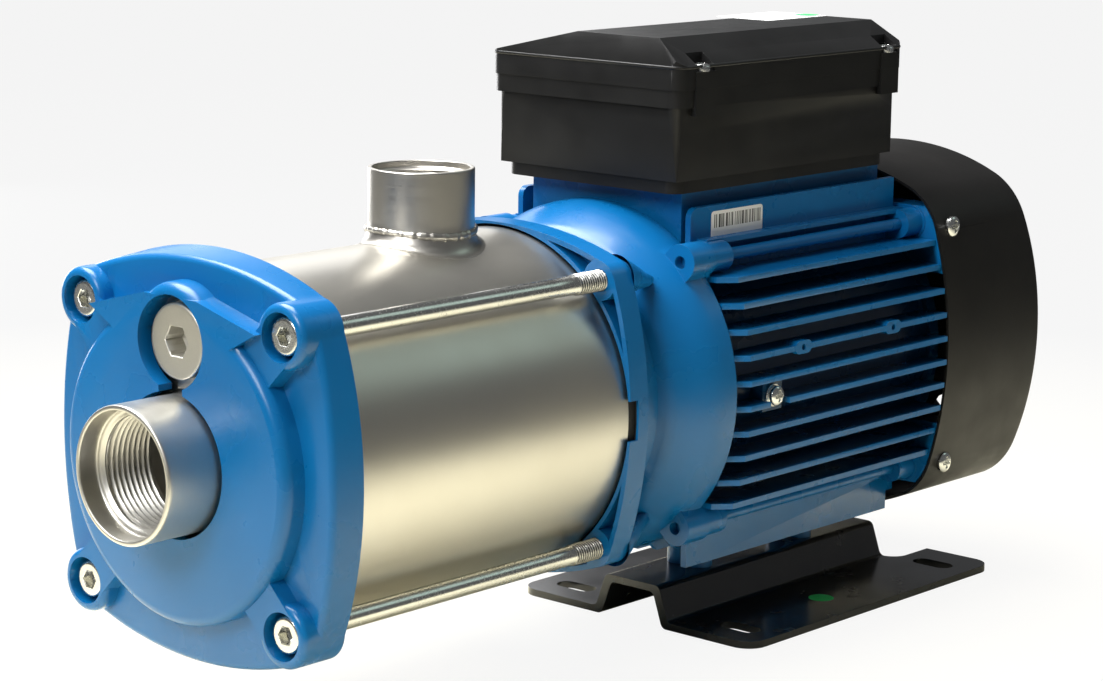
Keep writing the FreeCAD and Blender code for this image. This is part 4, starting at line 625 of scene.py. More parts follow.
@dataclass(frozen=True)
class Thread:
    """A screw thread on part of a turned profile."""

    pitch: float
    depth: float
    start: float
    end: float
    inward: bool = True
    within: float = math.inf

    def relief(self, along: np.ndarray, radius: np.ndarray, angle: np.ndarray) -> np.ndarray:
        """How far the surface lies off the crest: a clipped triangle wave of the distance along
        less the share of a turn, faded in and out over one pitch at both ends, and only where the
        radius is within the thread's reach."""
        phase = np.mod(along / self.pitch - angle / TURN, 1.0)
        groove = np.clip(1.25 * (1.0 - np.abs(2.0 * phase - 1.0)) - 0.1, 0.0, 1.0)
        fade = smoothstep(along, self.start, self.start + self.pitch)
        fade = fade * (1.0 - smoothstep(along, self.end - self.pitch, self.end))
        return groove * fade * (radius < self.within) * self.depth * (1.0 if self.inward else -1.0)


@dataclass(frozen=True)
class Cross:
    """A cross recess in a screw's head."""

    arm: float
    half_width: float
    depth: float

    def relief(self, radius: np.ndarray, angle: np.ndarray) -> np.ndarray:
        """Depth at a point: full inside either arm of a plus sign, eased over a short edge."""
        x = np.abs(radius * np.cos(angle))
        y = np.abs(radius * np.sin(angle))
        narrow = 1.0 - smoothstep(np.minimum(x, y), self.half_width * 0.75, self.half_width * 1.15)
        reach = 1.0 - smoothstep(np.maximum(x, y), self.arm * 0.8, self.arm)
        return narrow * reach * self.depth


def hexagon_reach(angle: np.ndarray) -> np.ndarray:
    """Distance of a regular hexagon's edge for a flat at distance 1: 1 over the cosine of the angle
    from the nearest flat's middle."""
    return 1.0 / np.cos(np.mod(angle, TURN / 6.0) - TURN / 12.0)


@dataclass
class Turned:
    """A profile carried round an axis; rings may be hexagons, threaded or pressed in.

    Attributes:
        axis: the line it is turned about.
        profile: (along, radius) points from one end to the other.
        steps: points round the axis.
        hexes: indices of rings that are hexagons, their radius half across the flats.
        threads: screw threads on the profile.
        cross: a cross recess, which presses points of the outer face along the axis.
    """

    axis: Axis
    profile: Sequence[Spot]
    steps: int = 96
    hexes: tuple[int, ...] = ()
    threads: tuple[Thread, ...] = ()
    cross: Optional[Cross] = None
    cross_rings: int = 0
    saddle: Optional[Callable[[np.ndarray, np.ndarray, np.ndarray], np.ndarray]] = None

    def grid(self) -> np.ndarray:
        """Points as rings by steps: each profile point turned through a full circle, with hexagons,
        threads and recesses added to its radius or its place along the axis."""
        profile = np.array(self.profile, float)
        angle = np.arange(self.steps) * TURN / self.steps
        along = np.repeat(profile[:, :1], self.steps, axis=1)
        radius = np.repeat(profile[:, 1:], self.steps, axis=1)
        turns = np.repeat(angle[None, :], len(profile), axis=0)
        for index in self.hexes:
            radius[index] *= hexagon_reach(angle)
        for thread in self.threads:
            radius = radius + thread.relief(along, radius, turns)
        if self.cross is not None:
            along[:self.cross_rings] -= self.cross.relief(radius[:self.cross_rings],
                                                          turns[:self.cross_rings])
        if self.saddle is not None:
            along = self.saddle(along, radius, turns)
        return self.axis.place(along, radius, turns)


def fine(start: Spot, end: Spot, count: int) -> list[Spot]:
    """Evenly spaced profile points from start to end."""
    share = np.linspace(0.0, 1.0, count)[:, None]
    return [tuple(row) for row in np.array(start) * (1.0 - share) + np.array(end) * share]


def rounded(start: Spot, corner: Spot, end: Spot, count: int = 5) -> list[Spot]:
    """Profile points of a quadratic bend from start to end that heads for the corner."""
    t = np.linspace(0.0, 1.0, count)[:, None]
    points = ((1 - t) ** 2 * np.array(start) + 2 * t * (1 - t) * np.array(corner)
              + t ** 2 * np.array(end))
    return [tuple(row) for row in points]


class Piece:
    """Collects point grids and turns them into one finished object."""

    def __init__(self, name: str) -> None:
        """Starts an empty piece.

        Args:
            name: the object's name.
        """
        self.name = name
        self._points: list[np.ndarray] = []
        self._faces: list[np.ndarray] = []
        self._count = 0

    def grid(self, points: np.ndarray, wrap_rows: bool = False,
             wrap_columns: bool = True) -> "Piece":
        """Adds a grid of points joined by quads.

        Args:
            points: rows by columns by 3, in the shaft frame.
            wrap_rows: whether the last row joins the first.
            wrap_columns: whether the last column joins the first.

        Returns:
            The piece, for the next call.
        """
        rows, columns = points.shape[:2]
        index = np.arange(rows * columns).reshape(rows, columns) + self._count
        if wrap_rows:
            index = np.concatenate([index, index[:1]], axis=0)
        if wrap_columns:
            index = np.concatenate([index, index[:, :1]], axis=1)
        quads = np.stack([index[:-1, :-1], index[1:, :-1], index[1:, 1:], index[:-1, 1:]], axis=-1)
        self._points.append(points.reshape(-1, 3))
        self._faces.append(quads.reshape(-1, 4))
        self._count += rows * columns
        return self

    def turned(self, shape: Turned, closed_loop: bool = False) -> "Piece":
        """Adds a turned shape; a closed loop joins its last ring to its first."""
        return self.grid(shape.grid(), wrap_rows=closed_loop)

    def finish(self, material: bpy.types.Material, slot: str, body: str = FRAME_BODY,
               stands_for: Iterable[str] = (), sharp_degrees: float = 38.0) -> bpy.types.Object:
        """Makes the object: doubles at poles merged, faces turned outwards, creases kept sharp.

        Args:
            material: what it is finished in.
            slot: the record's slot of that finish; not used.
            body: the body it rides on.
            stands_for: nodes of the solid model that it replaces.
            sharp_degrees: faces that meet at more than this keep a crease.

        Returns:
            The finished object.
        """
        mesh = bpy.data.meshes.new(self.name)
        mesh.from_pydata(to_row(np.concatenate(self._points)).tolist(), [],
                         np.concatenate(self._faces).tolist())
        clean = bmesh.new()
        clean.from_mesh(mesh)
        bmesh.ops.remove_doubles(clean, verts=clean.verts, dist=2e-6)
        bmesh.ops.recalc_face_normals(clean, faces=clean.faces)
        clean.to_mesh(mesh)
        clean.free()
        return hang(self.name, mesh, material, body, stands_for, sharp_degrees)


def hang(name: str, mesh: bpy.types.Mesh, material: bpy.types.Material, body: str,
         stands_for: Iterable[str], sharp_degrees: float) -> bpy.types.Object:
    """Shades a mesh, links its object, ties it to its body and hides the nodes that it replaces.

    Args:
        name: the object's name.
        mesh: its shape, in the row frame.
        material: its finish.
        body: the body it rides on.
        stands_for: nodes that it replaces.
        sharp_degrees: crease angle.

    Returns:
        The object.
    """
    mesh.polygons.foreach_set("use_smooth", np.ones(len(mesh.polygons), bool))
    mesh.set_sharp_from_angle(angle=math.radians(sharp_degrees))
    mesh.materials.clear()
    mesh.materials.append(material)
    made = bpy.data.objects.new(name, mesh)
    bpy.context.scene.collection.objects.link(made)
    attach(made, body)
    names = list(stands_for)
    if names:
        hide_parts(*names)
    LOG.info("piece %s: %d faces", name, len(mesh.polygons))
    return made


@dataclass
class SoftCastings:
    """Castings, pressings and mouldings with the small round on their edges that the solids
    leave out: a merged copy of the node's mesh with its flat facets joined, and a bevel on its
    creases."""

    nodes: dict[str, float] = field(default_factory=lambda: {
        "front_bracket": 0.5, "motor_bracket": 0.5, "stator_housing": 0.4, "rear_end_shield": 0.4,
        "fan_cover": 0.3, "terminal_box_lid": 0.5, "terminal_box_base": 0.4, "foot_plate": 0.5,
    })
    segments: int = 2
    crease_degrees: float = 32.0

    def build(self, wardrobe: Wardrobe) -> None:
        """Makes each copy and lets it stand for its node."""
        slots = {row["node"]: row["material_slot"] for row in frame["record"]["subparts"]}
        owners = {node: body for body, row in frame["record"]["behaviour"]["bodies"].items()
                  for node in row}
        for name, width in self.nodes.items():
            mesh = frame["nodes"][name].data.copy()
            clean = bmesh.new()
            clean.from_mesh(mesh)
            bmesh.ops.remove_doubles(clean, verts=clean.verts, dist=2e-6)
            bmesh.ops.dissolve_limit(clean, angle_limit=math.radians(0.5), verts=clean.verts,
                                     edges=clean.edges, delimit={"NORMAL"})
            clean.to_mesh(mesh)
            clean.free()
            made = hang(name + "_soft", mesh, wardrobe.material(slots[name]),
                        owners[name], [name], self.crease_degrees)
            bevel = made.modifiers.new("edges", "BEVEL")
            bevel.width = width * MM
            bevel.segments = self.segments
            bevel.limit_method = "ANGLE"
            bevel.angle_limit = math.radians(self.crease_degrees)
            bevel.use_clamp_overlap = True
            bevel.miter_outer = "MITER_ARC"
            bevel.harden_normals = True


def bead_ring(size: float, ripples: Sequence[tuple[float, int, float]]
              ) -> tuple[np.ndarray, np.ndarray, np.ndarray]:
    """A weld bead: a small circle carried round a tube, its size rippled by a sum of sines.

    Args:
        size: the small circle's mean radius.
        ripples: for each sine its share of the size, its waves in a turn and its phase.

    Returns:
        Grids of the distance along, the distance outwards and the turn.
    """
    angle = np.arange(240) * TURN / 240
    lap = np.arange(10) * TURN / 10
    ripple = sum(share * np.sin(waves * angle + phase) for share, waves, phase in ripples)
    radius = size * (1.0 + ripple)[None, :]
    return (radius * np.sin(lap)[:, None], radius * np.cos(lap)[:, None],
            np.repeat(angle[None, :], 10, axis=0))


@dataclass
class SuctionPort:
    """Threaded tube at the front with its thin lip, smooth counterbore and weld bead."""

    mouth: float = -21.8
    root: float = 15.0
    outer: float = 24.0
    lip_bore: float = 22.2
    lip_depth: float = 8.0
    bore: float = 19.5
    base_flare: float = 1.2
    pitch: float = 2.309
    thread_depth: float = 1.45
    thread_end: float = 8.0
    bead: float = 1.3
    axis: Axis = Axis((0.0, 0.0, 0.0), (1.0, 0.0, 0.0))

    def tube(self) -> Turned:
        """The tube as a closed ring: outer wall, lip, counterbore, thread and back to the root."""
        mouth, root = self.mouth, self.root
        step = mouth + self.lip_depth
        profile = [(root, self.outer + self.base_flare), (root - 3.0, self.outer + 0.3)]
        profile += fine((root - 5.0, self.outer), (mouth + 1.0, self.outer), 24)
        profile += rounded((mouth + 1.0, self.outer), (mouth, self.outer),
                           (mouth, self.outer - 0.9))
        profile += rounded((mouth, self.lip_bore + 0.5), (mouth, self.lip_bore),
                           (mouth + 0.6, self.lip_bore))
        profile += fine((mouth + 1.0, self.lip_bore), (step - 0.4, self.lip_bore), 12)
        profile += [(step, self.lip_bore - 0.4)]
        profile += rounded((step, self.bore + 1.9), (step + 0.1, self.bore + 1.2),
                           (step + 1.2, self.bore + 0.4))
        profile += fine((step + 1.4, self.bore), (self.thread_end, self.bore), 160)
        profile += [(self.thread_end + 1.0, self.bore + 1.9), (root - 0.2, self.bore + 1.9)]
        thread = Thread(self.pitch, self.thread_depth, step + 1.0, self.thread_end,
                        within=self.bore + 0.01)
        return Turned(self.axis, profile, 160, threads=(thread,))

    def weld(self) -> np.ndarray:
        """The bead round the root, a bead ring laid against the disc."""
        rise, reach, turn = bead_ring(self.bead, ((0.10, 37, 0.0), (0.06, 61, 1.0), (0.05, 9, 0.0)))
        return self.axis.place((self.root - 0.2) - rise, (self.outer + 0.6) + reach, turn)

    def build(self, wardrobe: Wardrobe) -> None:
        """Makes the tube and its bead."""
        steel = wardrobe.material("port_stainless")
        Piece("suction_tube").turned(self.tube(), True).finish(steel, "port_stainless",
                                                               stands_for=["suction_port"])
        Piece("suction_weld").grid(self.weld(), wrap_rows=True).finish(steel, "port_stainless")


@dataclass
class DischargePort:
    """Threaded tube on top of the casing, saddled on the drum, with its weld's concave foot."""

    station: float = 120.8
    top: float = 91.1
    outer: float = 19.5
    lip_bore: float = 17.8
    lip_depth: float = 2.5
    bore: float = 15.15
    drum: float = 64.5
    foot: float = 4.0
    foot_rise: float = 7.0
    bead: float = 1.0
    weld_drop: float = 2.2
    pitch: float = 2.309
    thread_depth: float = 1.4

    def on_saddle(self, along: np.ndarray, radius: np.ndarray, angle: np.ndarray) -> np.ndarray:
        """Heights near the drum follow it: there the drum's height at that point, the root of its
        radius squared less the sideways distance squared, replaces the drum's top height."""
        sideways = radius * np.cos(angle)
        drum_top = np.sqrt(self.drum ** 2 - sideways ** 2)
        near = 1.0 - smoothstep(along, self.drum, self.drum + self.foot_rise + 3.0)
        return along + (drum_top - self.drum) * near

    def tube(self) -> Turned:
        """The tube as a closed ring: foot, outer wall, lip, counterbore, thread."""
        low, top = self.drum - 0.6, self.top
        step = top - self.lip_depth
        foot = rounded((self.drum + 0.1, self.outer + self.foot),
                       (self.drum + 0.6, self.outer + 0.4),
                       (self.drum + self.foot_rise, self.outer), 12)
        profile = [(low, self.outer + self.foot)] + foot
        profile += fine((self.drum + self.foot_rise + 1.0, self.outer), (top - 0.8, self.outer), 14)
        profile += rounded((top - 0.6, self.outer), (top, self.outer), (top, self.outer - 0.6))
        profile += rounded((top, self.lip_bore + 0.4), (top, self.lip_bore),
                           (top - 0.5, self.lip_bore))
        profile += [(step + 0.3, self.lip_bore), (step, self.lip_bore - 0.3),
                    (step, self.bore + 1.5)]
        profile += fine((step - 0.8, self.bore), (low, self.bore), 130)
        thread = Thread(self.pitch, self.thread_depth, self.drum + 1.0, step - 0.5,
                        within=self.bore + 0.01)
        axis = Axis((self.station, 0.0, 0.0), (0.0, 0.0, 1.0))
        return Turned(axis, profile, 144, threads=(thread,), saddle=self.on_saddle)

    def weld(self) -> np.ndarray:
        """The bead where the tube meets its collar, its height following the drum."""
        rise, reach, turn = bead_ring(self.bead, ((0.12, 31, 0.0), (0.08, 53, 1.0), (0.06, 7, 0.0)))
        along = (self.drum + self.foot_rise - self.weld_drop) + rise
        radius = (self.outer + 0.2) + reach
        axis = Axis((self.station, 0.0, 0.0), (0.0, 0.0, 1.0))
        return axis.place(self.on_saddle(along, radius, turn), radius, turn)

    def build(self, wardrobe: Wardrobe) -> None:
        """Makes the tube and its bead."""
        steel = wardrobe.special(Steel("turned_stainless_upright", (0.56, 0.54, 0.50),
                                       (0.50, 0.47, 0.41), Lay.ROUND_Z, 0.33, 2200.0, 0.006, 0.4))
        Piece("discharge_tube").turned(self.tube(), True).finish(steel, "port_stainless",
                                                                 stands_for=["discharge_port"])
        Piece("discharge_weld").grid(self.weld(), wrap_rows=True).finish(steel, "port_stainless")


@dataclass
class TieBolts:
    """Four long screws: socket heads, slim shanks, rolled threads at the rear."""

    pitch_circle: float = 50.4
    head_start: float = 5.0
    head_length: float = 8.0
    head_radius: float = 6.5
    socket_half_flats: float = 3.0
    socket_depth: float = 4.0
    shank_radius: float = 3.6
    thread_start: float = 148.0
    thread_end: float = 177.0
    thread_radius: float = 4.0
    thread_depth: float = 0.72
    pitch: float = 1.25

    def bolt(self, y: float, z: float) -> Turned:
        """One screw: socket floor, hexagon walls, chamfered face, head, shank and thread."""
        start, radius, flats = self.head_start, self.head_radius, self.socket_half_flats
        floor = start + self.socket_depth
        head_end = start + self.head_length
        profile = [(floor + 1.2, 0.0), (floor, flats), (floor - 0.1, flats), (start + 0.2, flats),
                   (start, flats + 0.2), (start, flats * 1.3), (start, radius - 1.3)]
        profile += rounded((start, radius - 1.1), (start + 0.1, radius - 0.1),
                           (start + 1.1, radius))
        profile += fine((start + 1.6, radius), (head_end - 0.4, radius), 5)
        profile += [(head_end, radius - 0.3), (head_end, self.shank_radius + 0.3),
                    (head_end + 0.6, self.shank_radius)]
        profile += fine((head_end + 2.0, self.shank_radius),
                        (self.thread_start - 0.6, self.shank_radius), 12)
        profile += fine((self.thread_start, self.thread_radius),
                        (self.thread_end - 0.6, self.thread_radius), 190)
        profile += [(self.thread_end, self.thread_radius - 0.7), (self.thread_end, 0.0)]
        thread = Thread(self.pitch, self.thread_depth, self.thread_start - 0.4,
                        self.thread_end + 1.0, False)
        return Turned(Axis((0.0, y, z), (1.0, 0.0, 0.0)), profile, 48, hexes=(1, 2, 3, 4),
                      threads=(thread,))

    def build(self, wardrobe: Wardrobe) -> None:
        """Makes the four as one piece."""
        piece = Piece("tie_bolts_threaded")
        for y in (-self.pitch_circle, self.pitch_circle):
            for z in (-self.pitch_circle, self.pitch_circle):
                piece.turned(self.bolt(y, z))
        # The thread roots are painted black as shade.
        zinc = wardrobe.special(Steel("bright_zinc_threaded", (0.66, 0.66, 0.63),
                                      (0.56, 0.56, 0.52), Lay.EVEN, 0.22, 900.0, 0.010, 0.6,
                                      shaded_thread_roots=True))
        piece.finish(zinc, "zinc_plated", stands_for=["tie_bolts"])


@dataclass
class PrimingPlug:
    """Plug with a turned flange, a hexagon socket and a threaded shank."""

    height: float = 42.3
    face: float = 3.0
    flange: float = 3.0
    radius: float = 13.2
    shank: float = 10.35
    length: float = 10.5
    socket_half_flats: float = 5.0
    socket_depth: float = 7.0
    pitch: float = 1.814

    def shape(self) -> Turned:
        """Socket floor, hexagon walls, chamfered flange face, flange rim, threaded shank."""
        face, flats = self.face, self.socket_half_flats
        floor = face + self.socket_depth
        back = face + self.flange
        end = back + self.length
        profile = [(floor + 1.5, 0.0), (floor, flats), (floor - 0.1, flats), (face + 0.35, flats),
                   (face, flats + 0.35)]
        profile += fine((face, flats * 1.28), (face, self.radius - 1.4), 8)
        profile += rounded((face, self.radius - 0.9), (face + 0.1, self.radius),
                           (face + 0.9, self.radius))
        profile += [(back - 0.3, self.radius), (back, self.radius - 0.3), (back, self.shank)]
        profile += fine((back + 1.6, self.shank), (end - 0.8, self.shank), 60)
        profile += [(end, self.shank - 0.9), (end, 0.0)]
        thread = Thread(self.pitch, 0.9, back + 1.0, end + 1.0, False)
        return Turned(Axis((0.0, 0.0, self.height), (1.0, 0.0, 0.0)), profile, 96,
                      hexes=(1, 2, 3, 4), threads=(thread,))

    def build(self, wardrobe: Wardrobe) -> None:
        """Makes the plug."""
        steel = wardrobe.special(Steel("plug_stainless", (0.58, 0.565, 0.51), (0.53, 0.51, 0.45),
                                       Lay.EVEN, 0.50, 900.0, 0.008, 0.3))
        Piece("priming_plug").turned(self.shape()).finish(steel, "port_stainless", "plug",
                                                          ["fill_plug"])


@dataclass(frozen=True)
class ScrewSpot:
    """Where a screw's head sits and the way it faces."""

    seat: Colour
    outward: Colour


@dataclass
class CrossScrews:
    """Small screws with domed heads and a cross recess."""

    name: str
    node: str
    spots: list[ScrewSpot]
    head_radius: float
    head_height: float
    shank_radius: float
    shank_length: float
    body: str = FRAME_BODY
    washer_radius: float = 0.0
    washer_height: float = 0.0

    def screw(self, spot: ScrewSpot) -> Turned:
        """Dome from the middle out to the rim, under the head, and down the shank."""
        share = np.linspace(0.0, 1.0, 22)
        base = self.washer_height
        arch = np.sqrt(np.clip(1.0 - 0.96 * share ** 2, 0, 1))
        dome = base + self.head_height * (0.45 + 0.55 * arch)
        profile = list(zip(dome.tolist(), (share * self.head_radius).tolist()))
        profile += [(base + self.head_height * 0.3, self.head_radius),
                    (base, self.head_radius - 0.15)]
        if self.washer_radius:
            profile += [(base, self.washer_radius - 0.2), (base - 0.2, self.washer_radius),
                        (0.2, self.washer_radius), (0.0, self.washer_radius - 0.2)]
        profile += [(0.0, self.shank_radius), (-self.shank_length, self.shank_radius),
                    (-self.shank_length, 0.0)]
        recess = Cross(self.head_radius * 0.62, self.head_radius * 0.15, self.head_height * 0.55)
        return Turned(Axis(spot.seat, spot.outward), profile, 64, cross=recess, cross_rings=22)

    def build(self, wardrobe: Wardrobe) -> None:
        """Makes the screws as one piece."""
        piece = Piece(self.name)
        for spot in self.spots:
            piece.turned(self.screw(spot))
        piece.finish(wardrobe.material("zinc_plated"), "zinc_plated", self.body, [self.node])


@dataclass
class BallSet:
    """Balls of one bearing in their pressed cage."""

    station: float
    node: str
    body: str
    ball_radius: float = 3.37
    pitch_radius: float = 14.3
    count: int = 7

    def ball(self, turn: float) -> Turned:
        """A sphere: radius times the sine, and the place times the cosine, of an angle from pole to
        pole."""
        lap = np.linspace(0.0, math.pi, 17)
        profile = list(zip((-self.ball_radius * np.cos(lap)).tolist(),
                           (self.ball_radius * np.sin(lap)).tolist()))
        place = (self.station, self.pitch_radius * math.sin(turn),
                 self.pitch_radius * math.cos(turn))
        return Turned(Axis(place, (1.0, 0.0, 0.0)), profile, 28)

    def cage(self) -> np.ndarray:
        """Ring on the pitch circle whose half width swells round each ball: a rounded section, its
        length a cosine of the angle times the number of balls."""
        angle = np.arange(168) * TURN / 168
        lap = np.arange(8) * TURN / 8 + TURN / 16
        half = 2.6 + 1.3 * np.cos(angle * self.count)
        along = self.station + half[None, :] * np.cos(lap)[:, None]
        radius = self.pitch_radius + 0.62 * np.sin(lap)[:, None] + 0.0 * angle[None, :]
        turns = np.repeat(angle[None, :], 8, axis=0)
        return np.stack([along, radius * np.sin(turns), radius * np.cos(turns)], axis=-1)

    def build(self, wardrobe: Wardrobe) -> None:
        """Makes balls and cage as one piece."""
        piece = Piece(self.node + "_round")
        for k in range(self.count):
            piece.turned(self.ball(TURN * k / self.count))
        piece.grid(self.cage(), wrap_rows=True)
        piece.finish(wardrobe.material("bearing_steel"), "bearing_steel", self.body, [self.node])


@dataclass(frozen=True)
class FlatPatch:
    """A thin rounded label or paint dot on a flat face."""

    name: str
    middle: Colour
    right: Colour
    up: Colour
    half_width: float
    half_height: float
    corner: float
    lift: float = 0.12

    def grid(self) -> np.ndarray:
        """Rings of a rounded rectangle from the middle out and down over the edge: each ring is a
        corner circle pushed out to the rectangle's inner corners."""
        angle = np.arange(48) * TURN / 48 + TURN / 96
        cosine, sine = np.cos(angle), np.sin(angle)
        outline_x = self.corner * cosine + (self.half_width - self.corner) * np.sign(cosine)
        outline_y = self.corner * sine + (self.half_height - self.corner) * np.sign(sine)
        shares = np.array([0.0, 0.35, 0.7, 0.97, 1.0, 1.0, 0.0])
        lifts = np.array([1.0, 1.0, 1.0, 1.0, 0.8, -0.5, -0.5]) * self.lift
        x = shares[:, None] * outline_x[None, :]
        y = shares[:, None] * outline_y[None, :]
        right, up = np.array(self.right, float), np.array(self.up, float)
        out = np.cross(right, up)
        return (np.array(self.middle) + x[..., None] * right + y[..., None] * up
                + (lifts[:, None] * np.ones_like(x))[..., None] * out)

    def build(self, material: bpy.types.Material, slot: str, body: str) -> None:
        """Makes the patch."""
        Piece(self.name).grid(self.grid()).finish(material, slot, body)


@dataclass
class NeckHorns:
    """Four horns behind the square flange: cast ribs that run from the bolt bosses to the neck."""

    start: float = 171.6
    end: float = 199.0
    pitch: float = 50.4
    root_radius: float = 8.6
    tip_radius: float = 1.3
    lean: float = 6.0

    def horn(self, side: int, height: int) -> np.ndarray:
        """Rings from root to tip: the radius falls with the share along to the power 0.8, and the
        middle leans to the shaft with the share squared."""
        share = np.linspace(0.0, 1.0, 18)[:, None]
        angle = (np.arange(40) * TURN / 40)[None, :]
        radius = self.root_radius + (self.tip_radius - self.root_radius) * share ** 0.8
        radius = radius * np.where(share > 0.999, 0.0, 1.0)
        inner = self.pitch - self.lean * share ** 1.5
        along = self.start + (self.end - self.start) * share * np.ones_like(angle)
        return np.stack([along, side * inner + radius * np.cos(angle),
                         height * inner + radius * np.sin(angle)], axis=-1)

    def build(self, wardrobe: Wardrobe) -> None:
        """Makes the four as one piece."""
        piece = Piece("neck_horns")
        for side in (-1, 1):
            for height in (-1, 1):
                piece.grid(self.horn(side, height))
        piece.finish(wardrobe.material("blue_paint"), "blue_paint")


@dataclass
class LidEave:
    """The rounded ledge where the lid's roof meets its skirt."""

    middle: Colour = (281.5, 0.0, 124.3)
    half_x: float = 72.4
    half_y: float = 48.0
    corner: float = 5.6
    radius: float = 0.75

    def grid(self) -> np.ndarray:
        """A round bead along a rounded rectangle: each corner circle is pushed out to the
        rectangle's inner corners, and a small circle is carried along it."""
        angle = (np.arange(160) * TURN / 160 + TURN / 320)[:, None]
        lap = (np.arange(10) * TURN / 10)[None, :]
        reach = self.corner + self.radius * np.cos(lap)
        x = reach * np.cos(angle) + (self.half_x - self.corner) * np.sign(np.cos(angle))
        y = reach * np.sin(angle) + (self.half_y - self.corner) * np.sign(np.sin(angle))
        z = self.radius * np.sin(lap) * np.ones_like(angle)
        return np.array(self.middle) + np.stack([x, y, z], axis=-1)

    def build(self, wardrobe: Wardrobe) -> None:
        """Makes the bead."""
        Piece("lid_eave").grid(self.grid(), wrap_rows=True).finish(
            wardrobe.material("box_plastic"), "box_plastic", "lid")


@dataclass
class Labels:
    """The plain label on the side wall, the two paint dots and the bare label on the lid."""

    wall: Colour = (250.5, -44.3, 62.4)
    wall_half: Spot = (16.0, 5.3)
    lid: Colour = (330.0, 2.0, 134.6)
    lid_half: Spot = (20.0, 14.0)
    lid_dot: Colour = (346.0, -4.0, 134.7)
    lid_dot_half: float = 5.0
    foot_dot: Colour = (317.3, -41.2, -102.8)
    foot_dot_half: float = 5.2

    def dot(self, name: str, place: Colour, half: float, wardrobe: Wardrobe) -> None:
        """A round dab of green paint on an upward face."""
        green = wardrobe.special(Plastic("check_green", (0.035, 0.60, 0.13), (0.03, 0.50, 0.10),
                                         0.5))
        body = "lid" if place[2] > 0.0 else FRAME_BODY
        FlatPatch(name, place, (1.0, 0.0, 0.0), (0.0, 1.0, 0.0), half, half, half - 0.01,
                  0.06).build(green, "capacitor_can", body)

    def build(self, wardrobe: Wardrobe) -> None:
        """Makes the labels and dots."""
        middle = to_row(np.array(self.wall))
        paper = wardrobe.special(Sticker("side_label", float(middle[0]), float(middle[2]) - 0.0012,
                                         float(middle[2]) + 0.0040))
        FlatPatch("side_wall_label", self.wall, (1.0, 0.0, 0.0), (0.0, 0.0, 1.0), *self.wall_half,
                  1.4).build(paper, "capacitor_can", FRAME_BODY)
        bare = wardrobe.special(Plastic("bare_label", (0.80, 0.80, 0.79), (0.74, 0.74, 0.73), 0.4))
        FlatPatch("lid_label", self.lid, (1.0, 0.0, 0.0), (0.0, 1.0, 0.0), *self.lid_half,
                  2.0).build(bare, "capacitor_can", "lid")
        self.dot("lid_dot", self.lid_dot, self.lid_dot_half, wardrobe)
        self.dot("foot_dot", self.foot_dot, self.foot_dot_half, wardrobe)


# Stage


@dataclass(frozen=True)
class PhotoCamera:
    """The viewpoint solved from the photograph."""

    azimuth: float = -48.46
    elevation: float = 10.82
    roll: float = 0.7
    distance: float = 1124.87
    aim_right: float = 5.59
    aim_up: float = 17.83
    focal_pixels: float = 2925.5
    frame_width: float = 1103.0
    pivot: Colour = (185.0, 0.0, 0.0)

    def build(self) -> None:
        """Places the camera: its back axis from azimuth and elevation, rolled about itself."""
        a, e, r = (math.radians(v) for v in (self.azimuth, self.elevation, self.roll))
        back = np.array([math.sin(a) * math.cos(e), -math.cos(a) * math.cos(e), math.sin(e)])
        level = np.array([math.cos(a), math.sin(a), 0.0])
        above = np.cross(back, level)
        right = math.cos(r) * level + math.sin(r) * above
        up = -math.sin(r) * level + math.cos(r) * above
        aim = np.array(self.pivot) + self.aim_right * right + self.aim_up * up
        place = to_row(aim + back * self.distance)
        data = bpy.data.cameras.new("photo_camera")
        data.sensor_fit = "HORIZONTAL"
        data.sensor_width = 36.0
        data.lens = data.sensor_width * self.focal_pixels / self.frame_width
        data.clip_start, data.clip_end = 0.05, 30.0
        camera = bpy.data.objects.new("photo_camera", data)
        bpy.context.scene.collection.objects.link(camera)
        turn = Matrix((right, up, back)).transposed().to_4x4()
        camera.matrix_world = Matrix.Translation(Vector(place)) @ turn
        bpy.context.scene.camera = camera


@dataclass(frozen=True)
class SoftBox:
    """One rectangular lamp aimed at the object."""

    name: str
    place: Colour
    width: float
    height: float
    watts: float
    colour: Colour = (1.0, 1.0, 1.0)

    def build(self, aim: Vector) -> None:
        """Hangs the lamp."""
        data = bpy.data.lights.new(self.name, "AREA")
        data.shape = "RECTANGLE"
        data.size, data.size_y = self.width, self.height
        data.energy = self.watts
        data.color = self.colour
        lamp = bpy.data.objects.new(self.name, data)
        lamp.location = self.place
        lamp.rotation_euler = (aim - Vector(self.place)).to_track_quat("-Z", "Y").to_euler()
        bpy.context.scene.collection.objects.link(lamp)


